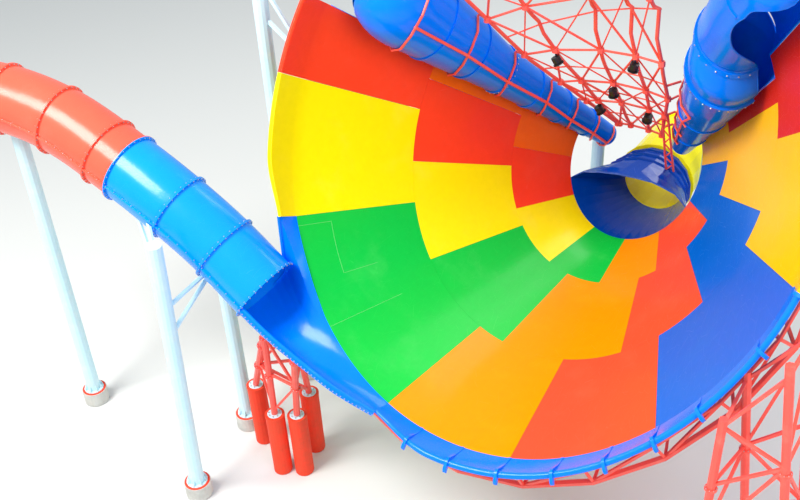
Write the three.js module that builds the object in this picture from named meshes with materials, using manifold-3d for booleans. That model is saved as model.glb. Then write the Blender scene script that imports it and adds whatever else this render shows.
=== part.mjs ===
// Giant funnel raft slide: an open-topped cone of coloured panels, its entry flume, rim, rolled slot lips,
// overhead lattice, lattice towers on round piers, posts on plinths, and the exit hood and tube.
// X runs right, Y from the mouth to the small end, Z up. The ground is Z = 0.
import * as THREE from 'three';
import Module from 'manifold-3d';

const wasm = await Module();
wasm.setup();

// Driving dimensions, millimetres and degrees
const mouthHalfWidth = 8700;
const sectionTallness = 1.176;
const axisFall = 32.66;
const apexDistance = 17960;
const mouthCentreHeight = 15180;
const courseEnds = [0, 4700, 9250, 12360];
const wall = 90;
const gap = 0.3;
const gridStep = 3;
const slotLeft = 165;
const slotRight = 387;
const slotRightFront = 393;
const flumeRadius = 1220;
const flumeWall = 70;
const flangeHeight = 90;
const flangeWidth = 80;
const pierRadius = 370;
const pierHeight = 3000;
const legRadius = 130;
const braceRadius = 65;
const postRadius = 280;
const plinthRadius = 520;
const plinthHeight = 650;

const colours = {
  red: 0xff3a20, salmon: 0xff5c46, yellow: 0xffee2a, green: 0x18d45c, orange: 0xffa206, amber: 0xff8410,
  deepBlue: 0x0a5cdc, rimBlue: 0x0a80f8, tubeBlue: 0x0898ff, tubeRed: 0xff7a70, lattice: 0xf8584a,
  pier: 0xf04828, post: 0xc8ecf2, concrete: 0xc9ccc8, exitYellow: 0xf6d818,
};

const sin = (degrees) => Math.sin(THREE.MathUtils.degToRad(degrees));
const cos = (degrees) => Math.cos(THREE.MathUtils.degToRad(degrees));
const vec = (x, y, z) => new THREE.Vector3(x, y, z);
const lerp = THREE.MathUtils.lerp;

const across = vec(1, 0, 0);
const axis = vec(0, cos(axisFall), -sin(axisFall));
const tall = vec(0, sin(axisFall), cos(axisFall));
const up = vec(0, 0, 1);
const mouthCentre = vec(0, 0, mouthCentreHeight);

const group = new THREE.Group();

// A point of the funnel: the angle runs from +X over the top, and t from the mouth to the small end.
function funnelPoint(angle, t, radius) {
  return mouthCentre.clone()
    .addScaledVector(axis, t)
    .addScaledVector(across, radius * cos(angle))
    .addScaledVector(tall, radius * sectionTallness * sin(angle));
}

const coneRadius = (t) => mouthHalfWidth * (1 - t / apexDistance);

// The funnel's lengthwise profile, from the tip of the rolled rim to the small end
const rim = { reach: 1050, rise: 180, roll: 90 };
const rollTurns = [180, 90, 0];
const profile = rollTurns.map((turn) => ({
  t: -rim.reach - rim.roll * sin(turn),
  r: mouthHalfWidth + rim.rise + rim.roll * (1 - cos(turn)),
}));
profile.push({ t: -rim.reach / 2, r: mouthHalfWidth + rim.rise * 0.6 });
const mouthRow = profile.length;
const courseRows = [mouthRow];
for (let course = 1; course < courseEnds.length; course++) {
  const [from, to] = [courseEnds[course - 1], courseEnds[course]];
  for (const part of [0, 0.5]) {
    const t = lerp(from, to, part);
    profile.push({ t, r: coneRadius(t) });
  }
  courseRows.push(profile.length);
}
const smallEnd = courseEnds.at(-1);
profile.push({ t: smallEnd, r: coneRadius(smallEnd) });

function profileNormal(row) {
  const before = profile[Math.max(row - 1, 0)];
  const after = profile[Math.min(row + 1, profile.length - 1)];
  const [dt, dr] = [after.t - before.t, after.r - before.r];
  const length = Math.hypot(dt, dr);
  return { t: -dr / length, r: dt / length };
}
profile.forEach((point, row) => { point.normal = profileNormal(row); });

const columnAngle = (column) => slotLeft + column * gridStep;
const columnOf = (angle) => Math.round((angle - slotLeft) / gridStep);

// The trough takes the rim's place between these angles, and the rim draws in toward both of them
const troughFrom = 207;
const troughTo = 252;
const rimShare = (angle) => (angle <= troughFrom
  ? 1 - 0.3 * THREE.MathUtils.smoothstep(angle, troughFrom - 12, troughFrom)
  : 0.65 + 0.35 * THREE.MathUtils.smoothstep(angle, troughTo, troughTo + 15));

function drawnIn(row, angle) {
  const { t, r } = profile[row];
  const share = row < mouthRow ? rimShare(angle) : 1;
  return { t: t * share, r: mouthHalfWidth + (r - mouthHalfWidth) * share };
}

// The funnel's skin at a grid corner: side 0 is the wet face and side 1 the back of the panel
function skinPoint(column, row, side, shiftColumn = 0, shiftRow = 0) {
  const { normal } = profile[row];
  const { t, r } = drawnIn(row, columnAngle(column));
  const angle = columnAngle(column) + THREE.MathUtils.radToDeg(shiftColumn / r);
  const along = t + shiftRow + side * wall * normal.t;
  return funnelPoint(angle, along, r + side * wall * normal.r);
}

function orientedMesh(positions, triangles) {
  let volume = 0;
  const p = (index) => vec(...positions.slice(3 * index, 3 * index + 3));
  for (let k = 0; k < triangles.length; k += 3) {
    volume += p(triangles[k]).dot(p(triangles[k + 1]).cross(p(triangles[k + 2])));
  }
  const order = volume < 0 ? [0, 2, 1] : [0, 1, 2];
  const turned = triangles.map((_, k) => triangles[k - (k % 3) + order[k % 3]]);
  return new wasm.Manifold(new wasm.Mesh({
    numProp: 3,
    vertProperties: new Float32Array(positions),
    triVerts: new Uint32Array(turned),
  }));
}

// A plate over any set of grid cells: pointAt gives the corner of side 0 or side 1, and wrap
// closes the columns.
function plate(cells, pointAt, wrap = 0) {
  const columnKey = (column) => (wrap ? (column + wrap) % wrap : column);
  const filled = new Set(cells.map(([i, j]) => `${columnKey(i)},${j}`));
  const has = (i, j) => filled.has(`${columnKey(i)},${j}`);
  const indices = new Map();
  const positions = [];
  const triangles = [];
  const inward = (i, j) => {
    let [di, dj] = [0, 0];
    for (const a of [-1, 0]) {
      for (const b of [-1, 0]) {
        if (!has(i + a, j + b)) {
          di -= a < 0 ? -1 : 1;
          dj -= b < 0 ? -1 : 1;
        }
      }
    }
    return [Math.sign(di), Math.sign(dj)];
  };
  const corner = (i, j, side) => {
    const key = `${columnKey(i)},${j},${side}`;
    if (!indices.has(key)) {
      indices.set(key, positions.length / 3);
      positions.push(...pointAt(columnKey(i), j, side, ...inward(i, j)).toArray());
    }
    return indices.get(key);
  };
  const quad = (a, b, c, d) => triangles.push(a, b, c, a, c, d);
  for (const [i, j] of cells) {
    const around = [[i, j], [i + 1, j], [i + 1, j + 1], [i, j + 1]];
    const [inner, outer] = [0, 1].map((side) => around.map(([a, b]) => corner(a, b, side)));
    quad(...outer);
    quad(...[...inner].reverse());
    const beyond = [[i, j - 1], [i + 1, j], [i, j + 1], [i - 1, j]];
    beyond.forEach(([a, b], edge) => {
      const next = (edge + 1) % 4;
      if (!has(a, b)) quad(inner[edge], inner[next], outer[next], outer[edge]);
    });
  }
  return orientedMesh(positions, triangles);
}

function gridCells(columns, rows) {
  const cells = [];
  for (let i = 0; i < columns; i++) {
    for (let j = 0; j < rows; j++) cells.push([i, j]);
  }
  return cells;
}

// A solid lofted through closed rings of points, with flat ends
function loft(rings) {
  const sides = rings[0].length;
  const positions = rings.flat().flatMap((point) => point.toArray());
  const triangles = [];
  for (let ring = 0; ring + 1 < rings.length; ring++) {
    for (let k = 0; k < sides; k++) {
      const [a, b] = [ring * sides + k, ring * sides + ((k + 1) % sides)];
      triangles.push(a, b, b + sides, a, b + sides, a + sides);
    }
  }
  const last = (rings.length - 1) * sides;
  for (let k = 1; k + 1 < sides; k++) {
    triangles.push(0, k + 1, k, last, last + k, last + k + 1);
  }
  return orientedMesh(positions, triangles);
}

// A round bar or pipe run through points. Growth makes it the cutter for what must stay clear of it.
function rod(run, radius, sides = 6, growth = 0) {
  const points = run.map((point) => point.clone());
  if (growth) {
    points[0].addScaledVector(run[0].clone().sub(run[1]).normalize(), growth);
    points.at(-1).addScaledVector(run.at(-1).clone().sub(run.at(-2)).normalize(), growth);
  }
  const reach = radius + growth / cos(180 / sides);
  let reference = Math.abs(points.at(-1).clone().sub(points[0]).normalize().z) > 0.9 ? across : up;
  const rings = points.map((point, k) => {
    const before = points[Math.max(k - 1, 0)];
    const after = points[Math.min(k + 1, points.length - 1)];
    const along = after.clone().sub(before).normalize();
    const side = along.clone().cross(reference).normalize();
    const rise = side.clone().cross(along);
    reference = rise;
    return Array.from({ length: sides }, (_, n) => {
      const turn = (360 * (n + 0.5)) / sides;
      return point.clone().addScaledVector(side, reach * cos(turn)).addScaledVector(rise, reach * sin(turn));
    });
  });
  return loft(rings);
}

const bar = (from, to, radius, sides = 4, growth = 0) => rod([from, to], radius, sides, growth);
const upright = (x, y, from, to, radius, sides = 12) => bar(vec(x, y, from), vec(x, y, to), radius, sides);
const fuse = (solids) => wasm.Manifold.union(solids);
const biggest = (solid) => solid.decompose().reduce((a, b) => (b.volume() > a.volume() ? b : a));

function add(name, solid, colour, roughness = 0.35, metalness = 0) {
  const mesh = solid.getMesh();
  const geometry = new THREE.BufferGeometry();
  geometry.setAttribute('position', new THREE.BufferAttribute(new Float32Array(mesh.vertProperties), 3));
  geometry.setIndex(new THREE.BufferAttribute(new Uint32Array(mesh.triVerts), 1));
  geometry.computeVertexNormals();
  const material = new THREE.MeshStandardMaterial({ color: colour, roughness, metalness });
  const piece = new THREE.Mesh(geometry, material);
  piece.name = name;
  group.add(piece);
}

// Panels: three courses, and in each the colours step round by part of a panel
const courseJoints = [
  [165, 180, 207, 252, 282, 312, 345, 372, 393],
  [165, 171, 195, 225, 261, 300, 327, 354, 381, 387],
  [165, 186, 216, 249, 279, 309, 342, 369, 387],
];
const bands = [
  { name: 'panels_amber_left', colour: colours.amber },
  { name: 'panels_red_left', colour: colours.red, rimmed: true },
  { name: 'panels_yellow_left', colour: colours.yellow, rimmed: true },
  { name: 'panels_green', colour: colours.green },
  { name: 'panels_orange', colour: colours.orange },
  { name: 'panels_salmon', colour: colours.salmon },
  { name: 'panels_blue', colour: colours.deepBlue },
  { name: 'panels_yellow_right', colour: colours.yellow, rimmed: true },
  { name: 'panels_red_right', colour: colours.red, rimmed: true },
];

function spanCells(from, to, firstRow, endRow) {
  const cells = [];
  for (let i = columnOf(from); i < columnOf(to); i++) {
    for (let j = firstRow; j < endRow; j++) cells.push([i, j]);
  }
  return cells;
}

const skin = (column, row, side, toColumn, toRow) => skinPoint(
  column, row, side, (toColumn * gap) / 2, (toRow * gap) / 2,
);

bands.forEach(({ name, colour, rimmed }, band) => {
  const cells = courseJoints.flatMap((joints, course) => {
    const first = course === 0 ? band - 1 : band;
    if (first < 0 || first + 1 >= joints.length) return [];
    const topRow = course === 0 && rimmed ? 0 : courseRows[course];
    return spanCells(joints[first], joints[first + 1], topRow, courseRows[course + 1]);
  });
  add(name, plate(cells, skin), colour);
});

// The blue rim under the panels, in the same joints as the first course
const rimJoints = { rim_bottom_left: [252, 282], rim_bottom_right: [282, 312], rim_right: [312, 345] };
for (const [name, [from, to]] of Object.entries(rimJoints)) {
  add(name, plate(spanCells(from, to, 0, mouthRow), skin), colours.rimBlue);
}

// The flume's centre line, from the trough back up to the left
const flumeLine = new THREE.CatmullRomCurve3([
  vec(-7740, -4710, 9585), vec(-9500, -4600, 10850), vec(-11300, -4600, 12000), vec(-13300, -4500, 12900),
  vec(-16100, -4500, 14050), vec(-18600, -4900, 14650), vec(-21400, -6000, 14950),
]);
const flumeLength = flumeLine.getLength();
const flumeJoints = [0, 2000, 4100, 6400, 7400, 9600, 11800, 14000];

function flumeFrame(distance) {
  const u = distance / flumeLength;
  const centre = flumeLine.getPointAt(u);
  const along = flumeLine.getTangentAt(u);
  const side = along.clone().cross(up).normalize();
  return { centre, along, side, rise: side.clone().cross(along) };
}

const tubeSides = 18;
const seamHalf = 2;
const ringTurns = Array.from({ length: tubeSides }, (_, k) => {
  const turn = (k * 360) / tubeSides;
  if (k % (tubeSides / 2) === 0) return turn - seamHalf;
  if (k % (tubeSides / 2) === 1) return turn - 360 / tubeSides + seamHalf;
  return turn;
});
const onSeam = (k) => k % (tubeSides / 2) < 2;

function flumePoint(distance, turn, radius) {
  const { centre, side, rise } = flumeFrame(distance);
  return centre.addScaledVector(side, radius * cos(turn)).addScaledVector(rise, radius * sin(turn));
}

function flumeStations(from, to, clearance = 0) {
  const flange = flangeWidth + clearance;
  const steps = Math.max(2, Math.round((to - from) / 1000));
  const stations = [{ at: from, raised: true }, { at: from + flange, raised: true }];
  stations.push({ at: from + flange + 1, raised: false });
  for (let k = 1; k < steps; k++) stations.push({ at: lerp(from, to, k / steps), raised: false });
  stations.push({ at: to - flange - 1, raised: false });
  stations.push({ at: to - flange, raised: true }, { at: to, raised: true });
  return stations;
}

const flumeOuter = (raised) => flumeRadius + (raised ? flangeHeight : 0);

function flumeBay(from, to) {
  const stations = flumeStations(from + gap / 2, to - gap / 2);
  const pointAt = (k, j, side) => {
    const { at, raised } = stations[j];
    const radius = side ? flumeOuter(raised || onSeam(k)) : flumeRadius - flumeWall;
    return flumePoint(at, ringTurns[k], radius);
  };
  return plate(gridCells(tubeSides, stations.length - 1), pointAt, tubeSides);
}

for (let bay = 0; bay + 1 < flumeJoints.length; bay++) {
  const blue = bay < 3;
  const name = blue ? `flume_blue_${bay + 1}` : `flume_red_${bay - 2}`;
  add(name, flumeBay(flumeJoints[bay], flumeJoints[bay + 1]), blue ? colours.tubeBlue : colours.tubeRed);
}

// What stands clear of the flume's outside, flanges and seams included
const flumeEnvelope = (() => {
  const rings = [];
  for (let bay = 0; bay + 1 < flumeJoints.length; bay++) {
    for (const { at, raised } of flumeStations(flumeJoints[bay], flumeJoints[bay + 1], gap)) {
      rings.push(ringTurns.map((turn, k) => flumePoint(at, turn, flumeOuter(raised || onSeam(k)) + gap)));
    }
  }
  return loft(rings.filter((_, k) => k === 0 || rings[k][0].distanceTo(rings[k - 1][0]) > 0.1));
})();

// The open trough: at the flume's end it wraps the tube's floor and rises in a fin to the rim's corner, and
// from there it opens out and runs down into the rim.
const troughRows = 12;
const troughDepth = 1750;
const finTurn = 0;
const finEnd = 0.5;
const overrun = 40;

function rimTip(angle) {
  const { t, r } = drawnIn(1, angle);
  return funnelPoint(angle, t, r);
}

const troughNear = new THREE.CatmullRomCurve3([
  vec(-7700, -5940, 9585), vec(-6600, -6080, 8930), vec(-5200, -6180, 8380), vec(-4000, -6280, 7940),
  rimTip(troughTo),
]);
const mouthEdge = (angle) => funnelPoint(angle, -gap - 0.2, mouthHalfWidth);
const mouthOutward = (angle) => funnelPoint(angle, 0, 1).sub(mouthCentre).normalize();

// The end that faces the flume: the mouth's edge, the rim's corner, the fin's edge, then round the tube
const flumeMouth = flumeFrame(0);
const roundEnd = (turn) => flumePoint(overrun, turn, flumeRadius - flumeWall);
const troughEnd = new THREE.CurvePath();
const endPoints = [mouthEdge(troughFrom), rimTip(troughFrom)];
for (let turn = finTurn; turn >= -180; turn -= 20) endPoints.push(roundEnd(turn));
endPoints.slice(1).forEach((point, k) => troughEnd.add(new THREE.LineCurve3(endPoints[k], point)));
const endLengths = troughEnd.getCurveLengths();
const finShare = (count) => endLengths[count - 1] / endLengths.at(-1);
const endRows = [0, finShare(1), finShare(1) * 0.55 + finShare(2) * 0.45, finShare(2)];
while (endRows.length <= troughRows) {
  endRows.push(lerp(finShare(2), 1, (endRows.length - 3) / (troughRows - 3)));
}

function troughShape(angle, row) {
  const s = (angle - troughFrom) / (troughTo - troughFrom);
  const start = mouthEdge(angle);
  if (row === 0) return start;
  const end = troughNear.getPoint(s);
  const depth = troughDepth * (1 - s) ** 1.3 + 60;
  const sag = vec(-0.2, 0, -1).normalize().lerp(mouthOutward(angle), s).normalize();
  const open = new THREE.CubicBezierCurve3(
    start,
    start.clone().lerp(end, 0.22).addScaledVector(sag, depth * (1 + 0.85 * (1 - s))),
    start.clone().lerp(end, 0.9).addScaledVector(sag, depth),
    end,
  );
  const opened = THREE.MathUtils.smoothstep(s, 0, finEnd);
  return troughEnd.getPoint(endRows[row]).lerp(open.getPointAt(row / troughRows), opened);
}

// The way round the mouth toward a larger angle, square to the plane of that angle
const mouthAcross = (angle) => funnelPoint(angle, 0, 1).sub(mouthCentre).cross(axis).normalize();

function troughNormal(angle, row) {
  if (angle === troughFrom && row > 2) {
    return troughShape(angle, row).sub(flumeMouth.centre).projectOnPlane(flumeMouth.along);
  }
  const columnStep = (toward) => THREE.MathUtils.clamp(angle + toward * gridStep, troughFrom, troughTo);
  const rowStep = (toward) => THREE.MathUtils.clamp(row + toward, 0, troughRows);
  const acrossGrid = troughShape(columnStep(1), row).sub(troughShape(columnStep(-1), row));
  const downGrid = troughShape(angle, rowStep(1)).sub(troughShape(angle, rowStep(-1)));
  const normal = acrossGrid.cross(downGrid).normalize();
  if (row === 0) return mouthNormal(angle);
  const onPlane = angle === troughTo || (angle === troughFrom && row === 1);
  return onPlane ? normal.projectOnPlane(mouthAcross(angle)) : normal;
}

function troughPoint(column, row, side, toColumn, toRow, clearance = 0) {
  const angle = troughFrom + column * gridStep;
  const direction = troughNormal(angle, row).normalize();
  return troughShape(angle, row).addScaledVector(mouthAcross(angle), toColumn * gap)
    .addScaledVector(direction, side * wall + (side ? clearance : -clearance));
}

function mouthNormal(angle) {
  const { t, r, normal } = profile[mouthRow];
  return funnelPoint(angle, t + normal.t, r + normal.r).sub(funnelPoint(angle, t, r));
}

// Its round end is made too long, and is cut back to the flume's first flange together with the fin
const troughCells = gridCells((troughTo - troughFrom) / gridStep, troughRows);
const flangeRing = (at) => ringTurns.map((turn) => flumePoint(at, turn, flumeOuter(true) + gap));
const firstBay = loft([
  flangeRing(0).map((point) => point.addScaledVector(flumeMouth.along, -gap)),
  ...[flangeWidth, flumeJoints[1] / 2, flumeJoints[1] - flangeWidth].map(flangeRing),
]);
add('entry_trough', biggest(plate(troughCells, troughPoint).subtract(firstBay)), colours.rimBlue);
const troughEnvelope = plate(troughCells, (i, j, side) => troughPoint(i, j, side, 0, 0, gap));

// Everything inside the back of the panels and rim, for the supports to be cut by
const funnelEnvelope = (() => {
  const around = 360 / gridStep;
  const ring = (t, radius) => Array.from({ length: around }, (_, k) => (
    funnelPoint(slotLeft + k * gridStep, t, radius)));
  const back = profile.slice(mouthRow).map(({ t, r, normal }) => (
    ring(t + wall * normal.t, r + wall * normal.r + gap)));
  const front = [-rim.reach - rim.roll - gap, -rim.reach + gap + 1].map((t) => ring(
    t, mouthHalfWidth + rim.rise + 2 * rim.roll + gap));
  const neck = profile.slice(rollTurns.length, mouthRow)
    .map(({ t, r }) => ring(t + wall + gap, r + wall + gap));
  return loft([...front, ...neck, ...back]);
})();

// Rolled lips along both edges of the slot: tubes open by a slit, or by more where the right one is a hood.
// A station gives the radius, how far the tube leans into the funnel, how much of the round it covers, and
// the share of the radius that is left where an end closes.
const lipWall = 70;
const lipColumns = 18;
const nearlyRound = 345;
const hoodCover = 335;
const jog = courseEnds[1];
const lips = {
  left: {
    angle: slotLeft,
    toSlot: -1,
    stations: [
      { t: 350, r: 1680, lean: 40, cover: nearlyRound, share: 0.25 },
      { t: 520, r: 1670, lean: 40, cover: nearlyRound, share: 0.6 },
      { t: 900, r: 1645, lean: 40, cover: nearlyRound, share: 0.86 },
      { t: 1400, r: 1615, lean: 40, cover: nearlyRound, share: 0.97 },
      { t: 2000, r: 1578, lean: 40, cover: nearlyRound, share: 1 },
      { t: 4500, r: 1245, lean: 40, cover: nearlyRound, share: 1 },
      { t: 7000, r: 912, lean: 40, cover: nearlyRound, share: 1 },
      { t: 10250, r: 691, lean: 40, cover: nearlyRound, share: 1 },
      { t: 13500, r: 470, lean: 40, cover: nearlyRound, share: 1 },
      { t: 13720, r: 457, lean: 40, cover: nearlyRound, share: 0.5 },
    ],
  },
  right: {
    angle: slotRight,
    toSlot: 1,
    stations: [
      { t: jog + 60, r: 1280, lean: 40, cover: hoodCover, share: 1, fromHood: true },
      { t: 5500, r: 1410, lean: 44, cover: nearlyRound, share: 1 },
      { t: 7300, r: 1150, lean: 57, cover: nearlyRound, share: 1 },
      { t: 10400, r: 805, lean: 57, cover: nearlyRound, share: 1 },
      { t: 13500, r: 470, lean: 57, cover: nearlyRound, share: 1 },
      { t: 13720, r: 457, lean: 57, cover: nearlyRound, share: 0.5 },
    ],
  },
  hood: {
    angle: slotRightFront,
    toSlot: 1,
    stations: [
      { t: 450, r: 1290, lean: 34, cover: 335, share: 0.6 },
      { t: 700, r: 1290, lean: 34, cover: 310, share: 0.9 },
      { t: 1000, r: 1290, lean: 34, cover: 285, share: 1 },
      { t: 1900, r: 1300, lean: 35, cover: 273, share: 1 },
      { t: 3000, r: 1320, lean: 36, cover: 270, share: 1 },
      { t: 3500, r: 1320, lean: 37, cover: 282, share: 1 },
      { t: 3900, r: 1310, lean: 38, cover: 308, share: 1 },
      { t: jog - gap, r: 1280, lean: 40, cover: hoodCover, share: 1, meetsLip: true },
    ],
  },
};

function edgeFrame({ angle, toSlot }, t, lean) {
  const edge = funnelPoint(angle, t, coneRadius(t));
  const along = funnelPoint(angle, t + 1, coneRadius(t + 1)).sub(edge).normalize();
  const slotward = funnelPoint(angle + toSlot * 0.01, t, coneRadius(t)).sub(edge).normalize();
  const inward = slotward.clone().cross(along).normalize();
  if (inward.dot(mouthCentre.clone().addScaledVector(axis, t).sub(edge)) < 0) inward.negate();
  const toCentre = slotward.clone().multiplyScalar(cos(lean)).addScaledVector(inward, sin(lean));
  const toFunnel = slotward.multiplyScalar(-sin(lean)).addScaledVector(inward, cos(lean));
  return { edge, toCentre, toFunnel };
}

// A point round the lip: turn 0 meets the panel's edge, 90 faces into the funnel and 180 the slot
function roundLip(lip, { t, r, lean, share }, turn, offset) {
  const { edge, toCentre, toFunnel } = edgeFrame(lip, t, lean);
  const radius = r * share + offset;
  return edge.addScaledVector(toCentre, r + gap - radius * cos(turn))
    .addScaledVector(toFunnel, radius * sin(turn));
}

function stationPoint(lip, station, turn, offset) {
  const away = Math.min(1, Math.abs(turn) / 90);
  if (station.meetsLip) {
    return roundLip(lip, { ...station, t: station.t + 60 * away }, turn, offset);
  }
  if (!station.fromHood) return roundLip(lip, station, turn, offset);
  const root = edgeFrame(lip, station.t, 0).edge.sub(edgeFrame(lips.hood, station.t, 0).edge);
  return roundLip(lips.hood, station, turn, offset).addScaledVector(root, 1 - away);
}

// The lip between its stations, for what hugs it
function lipPoint(lip, t, turn, offset) {
  const { stations } = lip;
  const next = Math.max(1, stations.findIndex((station) => station.t >= t));
  const [before, after] = [stations[next - 1], stations[next]];
  const share = (t - before.t) / (after.t - before.t);
  return stationPoint(lip, before, turn, offset).lerp(stationPoint(lip, after, turn, offset), share);
}

const lipTurn = (station, column) => (-station.cover * column) / lipColumns;
for (const [side, lip] of Object.entries(lips)) {
  const pointAt = (i, j, face) => {
    const station = lip.stations[j];
    return stationPoint(lip, station, lipTurn(station, i), face ? 0 : -lipWall);
  };
  const name = side === 'hood' ? 'slot_hood_right' : `slot_lip_${side}`;
  add(name, plate(gridCells(lipColumns, lip.stations.length - 1), pointAt), colours.rimBlue);
}

// The solid of a whole lip, for what meets it to be cut by
const lipClearance = gap / cos(10);
const lipEnvelopes = Object.values(lips).map((lip) => loft(lip.stations.map((station) => (
  Array.from({ length: lipColumns + 1 }, (_, i) => (
    stationPoint(lip, station, lipTurn(station, i), lipClearance)))))));
const clearOfLips = (solid) => lipEnvelopes.reduce((rest, envelope) => rest.subtract(envelope), solid);

// Exit hood: at the panels' lower edge it takes their round, under a flat arch, and draws in to the tube
const hoodWall = 70;
const hoodLow = 16;
const hoodFrom = 202;
const hoodTo = 336;
const hoodArch = [
  [1950, -900], [1370, -740], [910, -640], [130, -620], [-590, -640], [-1290, -720], [-2030, -860],
];
const hoodSides = hoodLow + hoodArch.length + 2;
const exitCentre = vec(450, 12100, 6840);
const exitLine = vec(0.02, 1, -0.06).normalize();
const exitSide = vec(1, -0.02, 0).normalize();
const exitRise = exitSide.clone().cross(exitLine);
const exitRadius = 1350;
const hoodSeat = gap + 0.1;
const smallAxis = mouthCentre.clone().addScaledVector(axis, smallEnd + hoodSeat);
const hoodStations = [
  { share: 0, proud: 0 }, { share: 0.18, proud: 0 }, { share: 0.4, proud: 0 }, { share: 0.56, proud: 0 },
  { share: 0.57, proud: 75 }, { share: 0.7, proud: 60 }, { share: 0.71, proud: 150 },
  { share: 0.85, proud: 110 }, { share: 0.86, proud: 200 }, { share: 1, proud: 150 },
];

function hoodMouth(k) {
  if (k <= hoodLow) {
    return funnelPoint(lerp(hoodFrom, hoodTo, k / hoodLow), smallEnd + hoodSeat, coneRadius(smallEnd));
  }
  const [x, rise] = k <= hoodLow + hoodArch.length ? hoodArch[k - hoodLow - 1] : [-2290, -1060];
  return smallAxis.clone().addScaledVector(across, x).addScaledVector(tall, rise);
}

function exitPoint(distance, turn, radius) {
  return exitCentre.clone().addScaledVector(exitLine, distance)
    .addScaledVector(exitSide, radius * cos(turn)).addScaledVector(exitRise, radius * sin(turn));
}

function hoodTurn(k) {
  return k <= hoodLow ? lerp(192, 348, k / hoodLow) : lerp(348, 552, (k - hoodLow) / (hoodSides - hoodLow));
}

function hoodPoint(k, station, offset) {
  const { share, proud } = hoodStations[station];
  const direction = exitPoint(0, hoodTurn(k), 1).sub(exitCentre);
  const ease = share * (1.25 - 0.25 * share);
  const wet = hoodMouth(k).lerp(exitPoint(0, hoodTurn(k), exitRadius), ease);
  const seat = k <= hoodLow ? skinNormal(lerp(hoodFrom, hoodTo, k / hoodLow)) : tall;
  const thickness = station === 0 ? seat : seat.clone().lerp(direction, Math.min(1, share * 2)).normalize();
  return wet.addScaledVector(thickness, offset ? offset + proud : 0);
}

// The way from the panels' wet face to their back at the small end
function skinNormal(angle) {
  const { t, r, normal } = profile.at(-1);
  return funnelPoint(angle, t + normal.t, r + normal.r).sub(funnelPoint(angle, t, r)).normalize();
}

const hoodCells = gridCells(hoodSides, hoodStations.length - 1);
const hood = plate(hoodCells, (k, station, side) => hoodPoint(k, station, side * hoodWall), hoodSides);
add('exit_hood', hood, colours.deepBlue);
const hoodEnvelope = loft(hoodStations.map((_, station) => (
  Array.from({ length: hoodSides }, (__, k) => hoodPoint(k, station, hoodWall + gap)))));

// The yellow exit tube, with a flange that takes the hood's end
const exitStations = [
  { at: gap, inner: exitRadius, outer: 1700 }, { at: 90, inner: exitRadius, outer: 1700 },
  { at: 91, inner: 1530, outer: 1600 }, { at: 2000, inner: 1530, outer: 1600 },
  { at: 3900, inner: 1530, outer: 1600 }, { at: 3901, inner: 1530, outer: 1700 },
  { at: 3990, inner: 1530, outer: 1700 },
];
const exitSides = 20;
const exitTube = plate(gridCells(exitSides, exitStations.length - 1), (k, j, side) => (
  exitPoint(exitStations[j].at, (k * 360) / exitSides, exitStations[j][side ? 'outer' : 'inner'])), exitSides);
add('exit_tube', exitTube, colours.exitYellow);

// Ribs that hug the lips from the slit to the slot side, and the pipe that joins them
const ribRadius = 45;
const pipeRadius = 60;
const ribStep = 28;
const ribSets = {
  left: {
    nodes: [[1700, 108], [4290, 113], [6690, 112], [8960, 116], [10680, 106], [12190, 102], [13290, 91]],
    from: 12,
    to: 180,
    trail: 900,
  },
  right: { nodes: [[7930, 109], [9180, 122], [10700, 123], [12000, 123]], from: 109, to: 193, trail: 0 },
};
const ribOffset = (t, radius) => 0.033 * lerp(1500, 450, t / 13500) + radius;
const ribSolids = (side, growth) => {
  const { nodes, from, to, trail } = ribSets[side];
  const lip = lips[side];
  const ribs = nodes.map(([t, turn]) => {
    const points = [];
    for (let at = from; at <= to; at += ribStep) {
      const station = Math.min(13400, t + trail * Math.max(0, 1 - at / turn));
      points.push(lipPoint(lip, station, at, ribOffset(station, ribRadius)));
    }
    return rod(points, ribRadius, 4, growth);
  });
  const joined = nodes.map(([t, turn]) => lipPoint(lip, t, turn, ribOffset(t, ribRadius)));
  return fuse([...ribs, rod(joined, side === 'left' ? pipeRadius : ribRadius, 5, growth)]);
};
for (const side of ['left', 'right']) {
  add(`lip_ribs_${side}`, biggest(clearOfLips(ribSolids(side, 0))), colours.lattice, 0.5);
}

// Lattice over the slot: five long chords that close up toward the small end, joined by frames and
// diagonals, and a slender column that carries them on the hood
const chordRadius = 70;
const latticeRadius = 45;
const archRise = 800;
const frameStations = [1700, 4290, 6690, 8960, 10680, 12900];

function overSlot(t, share) {
  const rightLip = t < 5500 ? lips.hood : lips.right;
  const onRight = Math.min(t, t < 5500 ? jog - 1 : t);
  const left = lipPoint(lips.left, t, 165, 500);
  const right = lipPoint(rightLip, onRight, 165, 450);
  const arch = archRise * (1 - t / 14500) * 4 * share * (1 - share);
  return left.lerp(right, share).addScaledVector(up, arch);
}

// How far across the slot each chord runs, at each frame
const chordShares = {
  a: [0, 0, 0, 0, 0, 0],
  b: [0.2, 0.2, 0.22, 0.2, 0.15, 0.05],
  c: [0.52, 0.52, 0.53, 0.5, 0.45, 0.3],
  d: [0.69, 0.69, 0.76, 0.8, 0.8, 0.7],
  e: [0.81, 0.81, 0.93, 1, 1, 1],
};
function chordAt(chord, t) {
  const shares = chordShares[chord];
  const next = Math.max(1, frameStations.findIndex((station) => station >= t));
  const [from, to] = [frameStations[next - 1], frameStations[next]];
  return overSlot(t, lerp(shares[next - 1], shares[next], (t - from) / (to - from)));
}
const chordSolid = (chord, growth) => rod(
  frameStations.map((t) => chordAt(chord, t)), chordRadius, 4, growth);

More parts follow.
